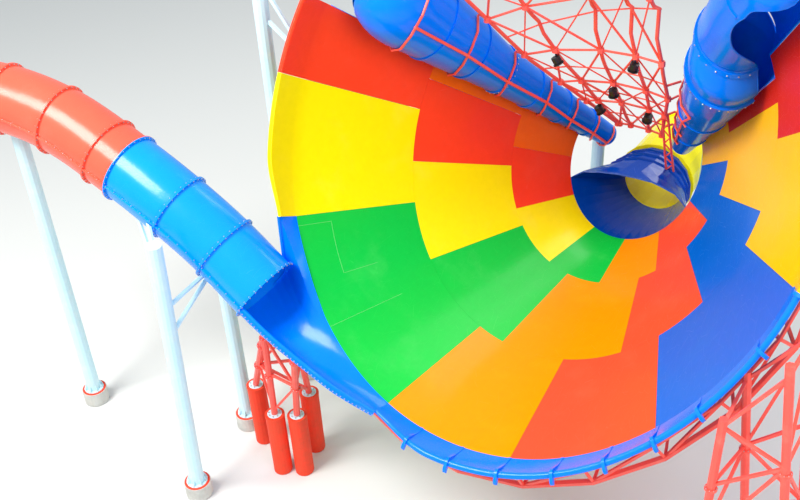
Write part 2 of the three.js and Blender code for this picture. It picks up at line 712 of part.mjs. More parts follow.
// The frames and diagonals between neighbouring chords
function betweenChords(names, growth) {
  const bars = [];
  for (let k = 0; k + 1 < names.length; k++) {
    const [from, to] = [names[k], names[k + 1]];
    frameStations.forEach((t, station) => {
      bars.push(bar(chordAt(from, t), chordAt(to, t), latticeRadius, 4, growth));
      const next = frameStations[station + 1];
      const [start, end] = station % 2 ? [from, to] : [to, from];
      if (next) bars.push(bar(chordAt(start, t), chordAt(end, next), latticeRadius, 4, growth));
    });
  }
  return bars;
}

const ribTop = (side, t) => lipPoint(lips[side], t, 180, ribOffset(t, ribRadius));
const leftLattice = (growth) => fuse([
  ...['a', 'b', 'c'].map((chord) => chordSolid(chord, growth)),
  ...betweenChords(['a', 'b', 'c'], growth),
  ...frameStations.slice(0, -1).map((t) => bar(ribTop('left', t), chordAt('a', t), latticeRadius, 4, growth)),
]);
const columnFoot = vec(1250, 11300, 8000);
const columnHead = chordAt('e', 10680);
const columnBars = [-1, 1].map((side) => bar(
  columnFoot.clone().add(vec(side * 160, 0, 0)),
  columnHead.clone().add(vec(side * 110, 0, 0)),
  chordRadius,
  6,
));
const rightLattice = fuse([
  ...['d', 'e'].map((chord) => chordSolid(chord, 0)),
  ...betweenChords(['c', 'd', 'e'], 0),
  ...ribSets.right.nodes.map(([t]) => bar(ribTop('right', t), chordAt('e', t), latticeRadius)),
  ...columnBars,
]);
add('slot_lattice_left', biggest(clearOfLips(leftLattice(0)).subtract(ribSolids('left', gap))),
  colours.lattice, 0.5);
add('slot_lattice_right', biggest(clearOfLips(rightLattice).subtract(ribSolids('right', gap))
  .subtract(hoodEnvelope).subtract(leftLattice(gap))), colours.lattice, 0.5);

// Ring truss under the rim: two chords, webs between them, and brackets to the back of the first course
const trussStep = 13.5;
const trussAngles = Array.from({ length: 11 }, (_, k) => 216 + k * trussStep);
const outerChord = { t: 700, out: 1170, radius: 110 };
const innerChord = { t: 0, out: 420, radius: 70 };
const trussPoint = ({ t, out }, angle) => funnelPoint(angle, t, coneRadius(t) + out);
const seatPoint = (angle, t) => funnelPoint(angle, t, coneRadius(t) + wall * 0.4);
function trussSolid(angles, growth) {
  const chords = [outerChord, innerChord].map((chord) => rod(
    angles.map((angle) => trussPoint(chord, angle)), chord.radius, 6, growth));
  const webs = angles.flatMap((angle, k) => {
    const [outer, inner] = [trussPoint(outerChord, angle), trussPoint(innerChord, angle)];
    const web = (from, to) => bar(from, to, braceRadius, 4, growth);
    const group = [web(outer, inner), web(inner, seatPoint(angle, 250))];
    if (k + 1 < angles.length) {
      const next = angles[k + 1];
      group.push(web(outer, trussPoint(innerChord, next)), web(outer, seatPoint((angle + next) / 2, 2100)));
    }
    return group;
  });
  return fuse([...chords, ...webs]);
}

const [leftAngles, rightAngles] = [trussAngles.slice(0, 5), trussAngles.slice(4)];
add('ring_truss_left', biggest(trussSolid(leftAngles, 0).subtract(funnelEnvelope).subtract(troughEnvelope)),
  colours.lattice, 0.5);
const rightTruss = trussSolid(rightAngles, 0).subtract(trussSolid(leftAngles, gap));
add('ring_truss_right', biggest(rightTruss.subtract(funnelEnvelope)), colours.lattice, 0.5);
const trussEnvelope = fuse([trussSolid(leftAngles, gap), trussSolid(rightAngles, gap)]);

// Lattice towers on round piers: the left one carries the trough, the right one the rim
function piers(name, feet) {
  feet.forEach(([x, y], k) => {
    add(`tower_pier_${name}_${k + 1}`, upright(x, y, 0, pierHeight, pierRadius, 18), colours.pier, 0.6);
  });
}

// Legs from the piers to their heads, with ties between each leg and the next and a diagonal in each bay
function towerFrame(feet, heads, levels, ring) {
  const at = (k, share) => {
    const [x, y] = feet[k % feet.length];
    return vec(x, y, pierHeight + gap).lerp(heads[k % feet.length], share);
  };
  const bars = feet.map((_, k) => bar(at(k, 0), at(k, 1), legRadius, 8));
  levels.forEach((level, k) => {
    const below = k ? levels[k - 1] : 0.04;
    ring.forEach(([from, to], side) => {
      bars.push(bar(at(from, level), at(to, level), braceRadius));
      const [foot, head] = (k + side) % 2 ? [from, to] : [to, from];
      bars.push(bar(at(foot, below), at(head, level), braceRadius));
    });
  });
  return fuse(bars).trimByPlane([0, 0, 1], pierHeight + gap);
}

const round4 = [[0, 1], [1, 2], [2, 3], [3, 0]];
const leftFeet = [[-10250, -3300], [-8600, -4300], [-7800, -3950], [-8100, -2700]];
const leftHeads = [
  vec(-8150, -4600, 7600), vec(-8100, -4700, 8700), vec(-6650, -4900, 7900), vec(-7350, -4100, 8700),
];
piers('left', leftFeet);
const leftFrame = towerFrame(leftFeet, leftHeads, [0.4, 0.75], round4).subtract(flumeEnvelope);
add('lattice_tower_left', biggest(leftFrame.subtract(troughEnvelope).subtract(trussEnvelope)
  .subtract(funnelEnvelope)), colours.lattice, 0.5);

const rightFeet = [[7690, -4460], [10350, -4460], [10400, -2300], [8800, -2700]];
const rightHeads = [
  vec(7710, -4460, 10300), vec(9050, -4460, 12800), vec(9250, -2940, 13100), vec(7840, -2940, 10900),
];
piers('right', rightFeet);
add('lattice_tower_right', biggest(towerFrame(rightFeet, rightHeads, [0.32, 0.64, 0.96], round4)
  .subtract(trussEnvelope).subtract(funnelEnvelope)), colours.lattice, 0.5);

// Pale posts on round plinths
const plinthSides = 24;
function standPost(name, foot, head, extras = [], radius = postRadius) {
  const plinth = upright(foot.x, foot.y, 0, plinthHeight, plinthRadius, plinthSides);
  add(`plinth_${name}`, plinth, colours.concrete, 0.9);
  const base = vec(foot.x, foot.y, plinthHeight + gap);
  const shaft = bar(base, head, radius, 14);
  const flange = upright(foot.x, foot.y, base.z, plinthHeight + 60, radius + 130, 14);
  const standing = fuse([shaft, flange, ...extras]).trimByPlane([0, 0, 1], base.z);
  const seated = clearOfLips(standing).subtract(flumeEnvelope).subtract(funnelEnvelope)
    .subtract(hoodEnvelope);
  add(`post_${name}`, biggest(seated), colours.post);
}

const strutRadius = 85;
const mainFoot = vec(-10800, -6870, 0);
const mainHead = vec(-10250, -6870, 12000);
const onMain = (height) => mainFoot.clone().lerp(mainHead, height / mainHead.z);
const underFlume = (distance, turn) => flumePoint(distance, turn, flumeRadius);
const mainArms = [[11750, 6400, 300], [10500, 6400, 275], [9300, 2000, 275], [8100, 2000, 275]];
standPost('main', mainFoot, mainHead, mainArms.map(([height, distance, turn]) => (
  bar(onMain(height), underFlume(distance, turn), strutRadius, 6))));

const outerHead = flumeFrame(11800).centre;
standPost('flume_outer', vec(outerHead.x, outerHead.y, 0), outerHead);
const rearHead = vec(-11360, -2900, 10500);
standPost('flume_rear', vec(rearHead.x, rearHead.y, 0), rearHead, [
  bar(rearHead.clone().add(vec(0, 0, -200)), underFlume(4100, 235), strutRadius),
]);

const rimPost = { x: 10900, y: 900, top: 19000 };
for (const side of [-1, 1]) {
  const middle = side < 0 ? 180 : 360;
  const at = (height) => vec(side * rimPost.x, rimPost.y, height);
  standPost(side < 0 ? 'rim_left' : 'rim_right', at(0), at(rimPost.top), [16800, 18200].map((height, k) => bar(
    at(height), seatPoint(middle + side * -8 * k, 1200 + 900 * k), strutRadius)));
}

// The posts at the small end carry the lips' tips, and an arm of each reaches under the panels
const endPosts = {
  small_end_left: { x: -2200, y: 12050, top: 8600, seat: 230 },
  small_end_right: { x: 2450, y: 12700, top: 8900, seat: 310 },
};
for (const [name, { x, y, top, seat }] of Object.entries(endPosts)) {
  standPost(name, vec(x, y, 0), vec(x, y, top), [bar(vec(x, y, 4600), seatPoint(seat, 11400), strutRadius)]);
}

// The origin is the middle of the footprint on the ground
const box = new THREE.Box3().setFromObject(group);
const middle = box.getCenter(new THREE.Vector3());
group.position.set(-middle.x, -middle.y, 0);

export default group;
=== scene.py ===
import bpy
import numpy as np
from mathutils import Matrix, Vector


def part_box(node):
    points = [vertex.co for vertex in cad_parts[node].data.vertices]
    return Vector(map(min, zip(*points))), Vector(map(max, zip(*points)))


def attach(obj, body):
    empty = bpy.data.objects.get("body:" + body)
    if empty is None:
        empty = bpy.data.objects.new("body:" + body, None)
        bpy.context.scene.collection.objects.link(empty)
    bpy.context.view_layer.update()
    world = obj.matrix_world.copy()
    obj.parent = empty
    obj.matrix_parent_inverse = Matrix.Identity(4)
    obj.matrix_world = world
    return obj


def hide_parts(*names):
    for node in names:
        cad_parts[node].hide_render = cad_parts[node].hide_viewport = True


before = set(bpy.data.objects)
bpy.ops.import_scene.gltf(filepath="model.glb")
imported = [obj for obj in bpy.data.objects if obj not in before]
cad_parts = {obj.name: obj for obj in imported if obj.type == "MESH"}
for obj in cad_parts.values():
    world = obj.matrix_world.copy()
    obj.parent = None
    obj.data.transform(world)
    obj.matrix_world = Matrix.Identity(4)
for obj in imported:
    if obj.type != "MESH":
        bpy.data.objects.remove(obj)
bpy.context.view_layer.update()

# Site and camera. The slide is laid out from the middle of the funnel's mouth, whose place in the frame
# follows from the main post's plinth, 10.8 m to its left and 6.87 m in front of it. The camera stands
# high in front and to the right, with a lens of 46 mm.
mouth_from_plinth = (10.8, 6.87)
camera_from_site = (11.09, -25.74, 30.5)
low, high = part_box("plinth_main")
site = np.array([
    (low[0] + high[0]) / 2 + mouth_from_plinth[0],
    (low[1] + high[1]) / 2 + mouth_from_plinth[1],
    0.0,
])


def stand(thing, axes, place):
    """Stands the camera or a light at a place, with its own axes in the columns of a 3 by 3 array."""
    bpy.context.scene.collection.objects.link(thing)
    matrix = np.eye(4)
    matrix[:3, :3] = axes
    matrix[:3, 3] = place
    thing.matrix_world = Matrix(matrix.tolist())


camera = bpy.data.objects.new("camera", bpy.data.cameras.new("camera"))
camera.data.lens = 46.01
camera.data.sensor_width = 36.0
camera.data.clip_end = 500.0
stand(camera, [
    [0.862045, -0.256654, 0.437044],
    [0.504460, 0.517806, -0.690939],
    [-0.048972, 0.816092, 0.575844],
], site + camera_from_site)
bpy.context.scene.camera = camera


# Stage. A plain pale floor, a large soft key light from the upper left, a fill from the right, one from
# behind, and a pale sky all round.
def mesh_object(name, points, faces, crease=35.0):
    """A mesh object at the origin from points (n, 3) and four-sided faces, creased past an angle."""
    mesh = bpy.data.meshes.new(name)
    mesh.from_pydata(np.asarray(points, float), [], np.asarray(faces, int).tolist())
    mesh.shade_smooth()
    mesh.set_sharp_from_angle(angle=np.radians(crease))
    made = bpy.data.objects.new(name, mesh)
    bpy.context.scene.collection.objects.link(made)
    return made


floor_half, floor_z = 260.0, -0.02
floor = mesh_object("stage_floor", [
    (-floor_half, -floor_half, floor_z), (floor_half, -floor_half, floor_z),
    (floor_half, floor_half, floor_z), (-floor_half, floor_half, floor_z),
], [(0, 1, 2, 3)])
floor_paint = bpy.data.materials.new("stage_paint")
floor_paint.use_nodes = True
floor_shader = floor_paint.node_tree.nodes["Principled BSDF"]
floor_shader.inputs["Base Color"].default_value = (0.72, 0.74, 0.73, 1)
floor_shader.inputs["Roughness"].default_value = 0.9
floor.data.materials.append(floor_paint)

bpy.context.scene.view_settings.view_transform = "Standard"
sky = bpy.data.worlds.new("sky")
sky.use_nodes = True
sky.node_tree.nodes["Background"].inputs["Color"].default_value = (0.90, 0.95, 1.0, 1)
sky.node_tree.nodes["Background"].inputs["Strength"].default_value = 0.60
bpy.context.scene.world = sky


def unit(vectors):
    """The vectors at length 1."""
    return vectors / np.linalg.norm(vectors, axis=-1, keepdims=True)


for name, place, aim, size, watts, tint in (
    ("key_light", (-22, -30, 52), (0, 0, 9), 22, 38000, (1.0, 0.97, 0.92)),
    ("fill_light", (34, -14, 34), (0, 2, 10), 26, 9000, (0.92, 0.96, 1.0)),
    ("back_light", (4, 42, 40), (0, 4, 10), 22, 7000, (1.0, 0.98, 0.95)),
):
    lamp = bpy.data.lights.new(name, "AREA")
    lamp.size = size
    lamp.energy = watts
    lamp.color = tint
    back = unit(np.array(place, float) - aim)
    side = unit(np.cross((0, 0, 1), back))
    stand(bpy.data.objects.new(name, lamp), np.column_stack([side, np.cross(back, side), back]), site + place)


# Funnel panels. Three courses of moulded glass-fibre panels in nine colours, which step round from course
# to course; the darker red on the right is painted shade. The gel coat is sprayed in the mould, a little
# wavy, and hazed and scratched in use. Each panel is bolted to the next, and the upper ones run on into the
# coloured rim.
def put(tree, kind, sockets=None, **settings):
    """Adds a shader node; a socket's value may be a number, a colour or another node's output."""
    node = tree.nodes.new(kind)
    for key, value in settings.items():
        setattr(node, key, value)
    for key, value in (sockets or {}).items():
        if isinstance(value, bpy.types.NodeSocket):
            tree.links.new(value, node.inputs[key])
        else:
            node.inputs[key].default_value = value
    return node


def noise(tree, where, scale, detail, roughness):
    """A soft noise over the object's own coordinates."""
    sockets = {"Vector": where, "Scale": scale, "Detail": detail, "Roughness": roughness}
    return put(tree, "ShaderNodeTexNoise", sockets).outputs["Fac"]


def ramp(tree, value, start, end, low, high, **settings):
    """The value's span from start to end, mapped to low to high."""
    sockets = {"Value": value, "From Min": start, "From Max": end, "To Min": low, "To Max": high}
    return put(tree, "ShaderNodeMapRange", sockets, **settings).outputs["Result"]


def calculate(tree, operation, first, second, **settings):
    """One sum or product of two numbers."""
    return put(tree, "ShaderNodeMath", {0: first, 1: second}, operation=operation, **settings).outputs[0]


def blend_colours(tree, share, first, second):
    """Two colours mixed by a share; a Mix node has its colours in sockets 6 and 7, and out of 2."""
    return put(tree, "ShaderNodeMix", {0: share, 6: first, 7: second}, data_type="RGBA").outputs[2]


def effect_group(name, colours, numbers=()):
    """A shader node group that takes named colours and numbers; also its inputs and outputs."""
    tree = bpy.data.node_groups.new(name, "ShaderNodeTree")
    for labels, kind in ((colours, "NodeSocketColor"), (numbers, "NodeSocketFloat")):
        for label in labels:
            tree.interface.new_socket(label, in_out="INPUT", socket_type=kind)
    for label, kind in (("Colour", "NodeSocketColor"), ("Roughness", "NodeSocketFloat"),
                        ("Normal", "NodeSocketVector")):
        tree.interface.new_socket(label, in_out="OUTPUT", socket_type=kind)
    return tree, put(tree, "NodeGroupInput").outputs, put(tree, "NodeGroupOutput").inputs


def effect_material(name, effect, **values):
    """A material whose colour, roughness and normal come from an effect group; also its shader."""
    finish = bpy.data.materials.new(name)
    finish.use_nodes = True
    tree = finish.node_tree
    shader = tree.nodes["Principled BSDF"]
    group = put(tree, "ShaderNodeGroup", node_tree=effect)
    for label, value in values.items():
        group.inputs[label].default_value = (*value, 1) if isinstance(value, tuple) else value
    for label, socket in (("Colour", "Base Color"), ("Roughness", "Roughness"), ("Normal", "Normal")):
        tree.links.new(group.outputs[label], shader.inputs[socket])
    return finish, shader


# Weathered gel coat: cloudy haze, fine grain and scratches over the long waves of the mould.
gelcoat_weather, taken, given = effect_group("gelcoat_weather", ("Colour", "Faded"), ("Haze", "Roughness"))
where = put(gelcoat_weather, "ShaderNodeTexCoord").outputs["Object"]
clouds = noise(gelcoat_weather, where, 0.45, 6, 0.62)
patches = ramp(gelcoat_weather, clouds, 0.52, 0.78, 0.0, 1.0, interpolation_type="SMOOTHSTEP")
haze = calculate(gelcoat_weather, "MULTIPLY", patches, taken["Haze"])
hazed = blend_colours(gelcoat_weather, haze, taken["Colour"], taken["Faded"])
grain = noise(gelcoat_weather, where, 3.2, 8, 0.7)
shade = ramp(gelcoat_weather, grain, 0.0, 1.0, 0.93, 1.07)
toned = put(gelcoat_weather, "ShaderNodeVectorMath", {0: hazed, "Scale": shade}, operation="SCALE")
strokes = put(gelcoat_weather, "ShaderNodeMapping", {
    "Vector": where, "Scale": (0.9, 0.16, 0.9), "Rotation": (0.5, 0.2, 0.6)})
scuffs = put(gelcoat_weather, "ShaderNodeTexVoronoi", {
    "Vector": strokes.outputs[0], "Scale": 5.0, "Randomness": 1.0}, feature="DISTANCE_TO_EDGE")
scratch = ramp(gelcoat_weather, scuffs.outputs["Distance"], 0.0, 0.006, 0.3, 0.0)
dulled = calculate(gelcoat_weather, "MULTIPLY", haze, 0.35)
dulled = calculate(gelcoat_weather, "ADD", dulled, taken["Roughness"])
dulled = calculate(gelcoat_weather, "ADD", dulled, scratch, use_clamp=True)
waves = noise(gelcoat_weather, where, 0.8, 3, 0.45)
dimple = put(gelcoat_weather, "ShaderNodeBump", {"Height": waves, "Strength": 0.25, "Distance": 0.08})
pebble = put(gelcoat_weather, "ShaderNodeBump", {
    "Height": grain, "Strength": 0.12, "Distance": 0.01, "Normal": dimple.outputs["Normal"]})
gelcoat_weather.links.new(toned.outputs[0], given["Colour"])
gelcoat_weather.links.new(dulled, given["Roughness"])
gelcoat_weather.links.new(pebble.outputs["Normal"], given["Normal"])


def gelcoat(name, colour, faded, haze=0.18, roughness=0.22, gloss=0.14):
    """Coloured gel coat with haze patches, scuffs and mould waves; gloss is least on the worn panels."""
    finish, shader = effect_material(
        name, gelcoat_weather, Colour=colour, Faded=faded, Haze=haze, Roughness=roughness)
    shader.inputs["Coat Weight"].default_value = 0.05
    shader.inputs["Coat Roughness"].default_value = 0.1
    shader.inputs["Specular IOR Level"].default_value = gloss
    return finish


amber_gelcoat = gelcoat("amber_gelcoat", (1.0, 0.15, 0.002), (1.0, 0.28, 0.03))
red_gelcoat = gelcoat("red_gelcoat", (1.0, 0.055, 0.018), (1.0, 0.14, 0.08))
yellow_gelcoat = gelcoat("yellow_gelcoat", (1.0, 0.86, 0.002), (1.0, 0.90, 0.16))
green_gelcoat = gelcoat("green_gelcoat", (0.006, 0.56, 0.055), (0.12, 0.72, 0.17))
orange_gelcoat = gelcoat("orange_gelcoat", (1.0, 0.30, 0.001), (1.0, 0.48, 0.01))
salmon_gelcoat = gelcoat("salmon_gelcoat", (1.0, 0.085, 0.035), (1.0, 0.20, 0.11))
deep_blue_gelcoat = gelcoat("deep_blue_gelcoat", (0.0, 0.13, 0.68), (0.0, 0.22, 0.80), haze=0.12)
warm_yellow_gelcoat = gelcoat("warm_yellow_gelcoat", (1.0, 0.52, 0.002), (1.0, 0.64, 0.02))
# Painted shade: a darker copy of the red gel coat for the red panels on the right, standing in for the shade
# they lie in.
shaded_red_gelcoat = gelcoat("shaded_red_gelcoat", (0.68, 0.022, 0.008), (0.76, 0.07, 0.035))
rim_blue_gelcoat = gelcoat("rim_blue_gelcoat", (0.0, 0.20, 1.0), (0.0, 0.30, 1.0), roughness=0.16, gloss=0.2)


def finish_nodes(material, *starts):
    """Gives a material to every CAD node whose name starts with one of the words."""
    for node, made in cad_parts.items():
        if node.startswith(starts):
            made.data.materials.clear()
            made.data.materials.append(material)


def piece(name, parts, material, stands_for=(), crease=35.0):
    """One object made of closed parts, which rides on the slide; it may stand for nodes."""
    starts = np.cumsum([0] + [len(points) for points, _ in parts])
    made = mesh_object(
        name,
        np.concatenate([points for points, _ in parts]),
        np.concatenate([faces + start for (_, faces), start in zip(parts, starts)]),
        crease,
    )
    made.data.materials.append(material)
    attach(made, "root")
    if stands_for:
        finish_nodes(material, *stands_for)
        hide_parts(*stands_for)


def outward(points, faces):
    """The part with its faces turned out, told by the sign of the volume that they close."""
    a, b, c, d = (points[faces[:, k]] - points[0] for k in range(4))
    volume = np.einsum("ij,ij->", a, np.cross(b, c)) + np.einsum("ij,ij->", a, np.cross(c, d))
    return points, faces if volume > 0 else faces[:, ::-1]


def shell(wet, back, wrap=False):
    """A closed plate between two grids of points (columns, rows, 3), or a closed ring of them."""
    columns, rows = wet.shape[:2]
    index = np.arange(2 * columns * rows).reshape(2, columns, rows)
    if wrap:
        index = np.concatenate([index, index[:, :1]], axis=1)
    inner, outer = index
    corners = [
        (inner[:-1, :-1], inner[:-1, 1:], inner[1:, 1:], inner[1:, :-1]),
        (outer[:-1, :-1], outer[1:, :-1], outer[1:, 1:], outer[:-1, 1:]),
        (inner[:-1, 0], inner[1:, 0], outer[1:, 0], outer[:-1, 0]),
        (inner[:-1, -1], outer[:-1, -1], outer[1:, -1], inner[1:, -1]),
    ]
    if not wrap:
        corners.append((inner[0, :-1], outer[0, :-1], outer[0, 1:], inner[0, 1:]))
        corners.append((inner[-1, :-1], inner[-1, 1:], outer[-1, 1:], outer[-1, :-1]))
    faces = np.concatenate([np.stack(group, axis=-1).reshape(-1, 4) for group in corners])
    return outward(np.concatenate([wet.reshape(-1, 3), back.reshape(-1, 3)]), faces)


def smoothstep(value, start, end):
    """0 before start and 1 after end, with an even ramp 3u^2 - 2u^3 between."""
    u = np.clip((value - start) / (end - start), 0, 1)
    return u * u * (3 - 2 * u)


mouth_half_width, mouth_height = 8.7, 15.18
section_tallness = 1.176
axis_fall = np.radians(32.66)
apex_distance = 17.96
across = np.array([1.0, 0.0, 0.0])
up = np.array([0.0, 0.0, 1.0])
axis = np.array([0.0, np.cos(axis_fall), -np.sin(axis_fall)])
tall = np.array([0.0, np.sin(axis_fall), np.cos(axis_fall)])
mouth_centre = site + up * mouth_height


def funnel_point(angle, t, radius):
    """centre + t axis + radius cos(angle) across + 1.176 radius sin(angle) tall."""
    angle, t, radius = np.broadcast_arrays(np.radians(angle), t, radius)
    return (mouth_centre + t[..., None] * axis + (radius * np.cos(angle))[..., None] * across
            + (radius * section_tallness * np.sin(angle))[..., None] * tall)


def cone_radius(t):
    """The funnel's half width at t from its mouth: the mouth's, times 1 - t / the apex's distance."""
    return mouth_half_width * (1 - np.asarray(t) / apex_distance)


# The rim's profile is a roll of radius 0.09 at its tip, then a gentle curve down to the mouth.
rim_reach, rim_rise, rim_roll = 1.05, 0.18, 0.09
rim_cut_left, rim_cut_right = 0.3, 0.35
trough_from, trough_to = 207.0, 252.0
roll_turn = np.radians(np.arange(180, -1, -15))
flare = np.linspace(1, 0, 9)[1:]
rim_t = np.concatenate([-rim_reach - rim_roll * np.sin(roll_turn), -rim_reach * flare])
rim_r = np.concatenate([
    rim_rise + rim_roll * (1 - np.cos(roll_turn)),
    rim_rise * flare * (1.4 - 0.4 * flare),
])


def rim_share(angle):
    """How far the rim reaches out: it draws in toward both ends of the trough."""
    left = 1 - rim_cut_left * smoothstep(angle, trough_from - 12, trough_from)
    right = 1 - rim_cut_right + rim_cut_right * smoothstep(angle, trough_to, trough_to + 15)
    return np.where(angle <= trough_from, left, right)


def skin_grid(angles, t, r, offset, on_rim):
    """The skin's points over angles and a profile (t, r), pushed out by offset along the profile's normal."""
    normal = unit(np.stack([-np.gradient(r), np.gradient(t)], axis=-1))
    share = np.where(on_rim[None], rim_share(angles)[:, None], 1.0)
    t = t[None] * share
    r = mouth_half_width + (r[None] - mouth_half_width) * share
    return funnel_point(angles[:, None], t + offset * normal[:, 0], r + offset * normal[:, 1])


course_ends = (0.0, 4.7, 9.25, 12.36)
skin = 0.05
joint_half, joint_radius = 0.003, 6.0
columns_per_degree, row_length = 1.2, 0.35


def skin_panel(start, end, first, last, rimmed=False):
    """One colour's shell in one course, or the rim's shell where both course ends are the mouth."""
    edge = np.degrees(joint_half / joint_radius)
    angles = np.linspace(start + edge, end - edge, max(3, round((end - start) * columns_per_degree)))
    t, r, on_rim = np.empty(0), np.empty(0), np.empty(0, bool)
    if rimmed or first == last:
        t, r = rim_t, mouth_half_width + rim_r
        on_rim = np.ones(len(rim_t), bool)
    if first != last:
        lengthwise = np.linspace(first + joint_half, last - joint_half, round((last - first) / row_length))
        t = np.concatenate([t[:-1], lengthwise])
        r = np.concatenate([r[:-1], cone_radius(lengthwise)])
        on_rim = np.concatenate([on_rim[:-1], np.zeros(len(lengthwise), bool)])
    return shell(skin_grid(angles, t, r, 0.0, on_rim), skin_grid(angles, t, r, skin, on_rim))


course_joints = (
    (165, 180, 207, 252, 282, 312, 345, 372, 393),
    (165, 171, 195, 225, 261, 300, 327, 354, 381, 387),
    (165, 186, 216, 249, 279, 309, 342, 369, 387),
)
bands = (
    ("amber_left", amber_gelcoat, "gelcoat_amber", False),
    ("red_left", red_gelcoat, "gelcoat_red", True),
    ("yellow_left", yellow_gelcoat, "gelcoat_yellow", True),
    ("green", green_gelcoat, "gelcoat_green", False),
    ("orange", orange_gelcoat, "gelcoat_orange", False),
    ("salmon", salmon_gelcoat, "gelcoat_salmon", False),
    ("blue", deep_blue_gelcoat, "gelcoat_deep_blue", False),
    ("yellow_right", warm_yellow_gelcoat, "gelcoat_yellow", True),
    # The right red panels take the darker red copy, which is painted shade.
    ("red_right", shaded_red_gelcoat, "gelcoat_red", True),
)
for band, (name, material, slot, rimmed) in enumerate(bands):
    parts = []
    for course, joints in enumerate(course_joints):
        k = band - 1 if course == 0 else band
        if 0 <= k < len(joints) - 1:
            first, last = course_ends[course:course + 2]
            parts.append(skin_panel(joints[k], joints[k + 1], first, last, rimmed and course == 0))
    piece(f"panel_skin_{name}", parts, material, [f"panels_{name}"])
for name, start, end in (("bottom_left", 252, 282), ("bottom_right", 282, 312), ("right", 312, 345)):
    rim_part = skin_panel(start, end, 0, 0)
    piece(f"rim_skin_{name}", [rim_part], rim_blue_gelcoat, [f"rim_{name}"])


# Panel flanges. At the back every panel ends in a moulded flange, bolted through to its neighbour's, with a
# stiffening rib along its middle. On the wet side a thin bead of sealant fills the joints within the green.
def ring_faces(rings, sides):
    """The walls and flat ends of a solid whose points are rings of an even number of sides."""
    ring = np.arange(rings * sides).reshape(rings, sides)
    after = np.roll(ring, -1, axis=1)
    walls = np.stack([ring[:-1], after[:-1], after[1:], ring[1:]], axis=-1).reshape(-1, 4)
    k = np.arange(sides // 2 - 1)
    cap = np.stack([k, k + 1, sides - 2 - k, sides - 1 - k], axis=-1)
    return np.concatenate([walls, cap[:, ::-1] + ring[0, 0], cap + ring[-1, 0]])


def tube(points, radius, sides=12):
    """A round bar along points: ring k is p_k + radius_k (side cos a + rise sin a)."""
    points = np.asarray(points, float)
    along = unit(np.gradient(points, axis=0))
    reference = np.linalg.svd(points - points.mean(axis=0))[2][-1]
    side = unit(np.cross(along, reference))[:, None]
    rise = np.cross(along, side[:, 0])[:, None]
    a = (np.arange(sides) * 2 * np.pi / sides)[None, :, None]
    reach = np.broadcast_to(radius, len(points))[:, None, None]
    rings = points[:, None] + reach * (np.cos(a) * side + np.sin(a) * rise)
    return outward(rings.reshape(-1, 3), ring_faces(len(points), sides))


def studs(places, ways, radius, height, sides=6):
    """Bolt heads or round pads: each stands at a place, along its way, with a chamfered top."""
    places = np.asarray(places, float).reshape(-1, 3)
    ways = unit(np.broadcast_to(ways, places.shape).astype(float))
    side = unit(np.cross(ways, np.where(np.abs(ways[:, 2:]) < 0.9, up, across)))
    rise = np.cross(ways, side)
    a = (np.arange(sides) * 2 * np.pi / sides)[None, :, None]
    ring = np.cos(a) * side[:, None] + np.sin(a) * rise[:, None]
    rings = [places[:, None] + ways[:, None] * height * level + ring * radius * width
             for level, width in ((0.0, 1.0), (0.75, 1.0), (1.0, 0.8))]
    points = np.stack(rings, axis=1).reshape(-1, 3)
    stride = len(rings) * sides
    template = outward(points[:stride], ring_faces(len(rings), sides))[1]
    shifts = (np.arange(len(places)) * stride)[:, None, None]
    return points, (template[None] + shifts).reshape(-1, 4)


def fin(line, ways, height, thickness):
    """A flat rib that follows a line and stands along ways, square to both by its thickness."""
    line = np.asarray(line, float)
    ways = unit(np.broadcast_to(ways, line.shape).astype(float))
    half = unit(np.cross(unit(np.gradient(line, axis=0)), ways)) * thickness / 2
    foot = np.stack([line - half, line + half], axis=1)
    rise = (ways * np.broadcast_to(height, len(line))[:, None])[:, None]
    return shell(foot, foot + rise)


# Worn paint: patches of dust, and orange peel from the spray gun.
paint_wear, taken, given = effect_group("paint_wear", ("Colour", "Dust"))
where = put(paint_wear, "ShaderNodeTexCoord").outputs["Object"]
dust = ramp(paint_wear, noise(paint_wear, where, 1.7, 7, 0.65), 0.50, 0.80, 0.0, 0.55)
brushed = noise(paint_wear, where, 14.0, 5, 0.6)
peel = put(paint_wear, "ShaderNodeBump", {"Height": brushed, "Strength": 0.2, "Distance": 0.006})
paint_wear.links.new(blend_colours(paint_wear, dust, taken["Colour"], taken["Dust"]), given["Colour"])
paint_wear.links.new(ramp(paint_wear, brushed, 0.0, 1.0, 0.28, 0.55), given["Roughness"])
paint_wear.links.new(peel.outputs["Normal"], given["Normal"])


def steel_paint(name, colour, dusty, metallic=0.0):
    """Satin paint, or bare plated steel where metallic is 1, with dust and orange peel."""
    finish, shader = effect_material(name, paint_wear, Colour=colour, Dust=dusty)
    shader.inputs["Metallic"].default_value = metallic
    return finish


plated_steel = steel_paint("plated_steel", (0.62, 0.64, 0.66), (0.45, 0.45, 0.44), metallic=1.0)
sealant = steel_paint("sealant", (0.22, 0.66, 0.24), (0.16, 0.56, 0.20))

flange_seat, flange_rise, flange_thickness = 0.8 * skin, 0.11, 0.036
bolt_rise, bolt_spacing, bolt_radius, bolt_height = 0.08, 0.45, 0.022, 0.02
rib_stations, rib_angles = (1.25, 7.0), np.arange(166.0, 386.0, 2.2)
widest_plain_panel = 20
bead_radius = 0.005
flange_parts, bolt_parts, sealant_parts = [], [], []


def back_normal(angle, t):
    """The way out of the funnel's back, square to the run toward the exit and to the turn round the axis."""
    here = funnel_point(angle, t, cone_radius(t))
    run = funnel_point(angle, t + 0.01, cone_radius(t + 0.01)) - here
    turn = funnel_point(angle + 0.1, t, cone_radius(t)) - here
    way = unit(np.cross(turn, run))
    out = here - (mouth_centre + np.asarray(t)[..., None] * axis)
    return way * np.sign(np.sum(way * out, axis=-1, keepdims=True))


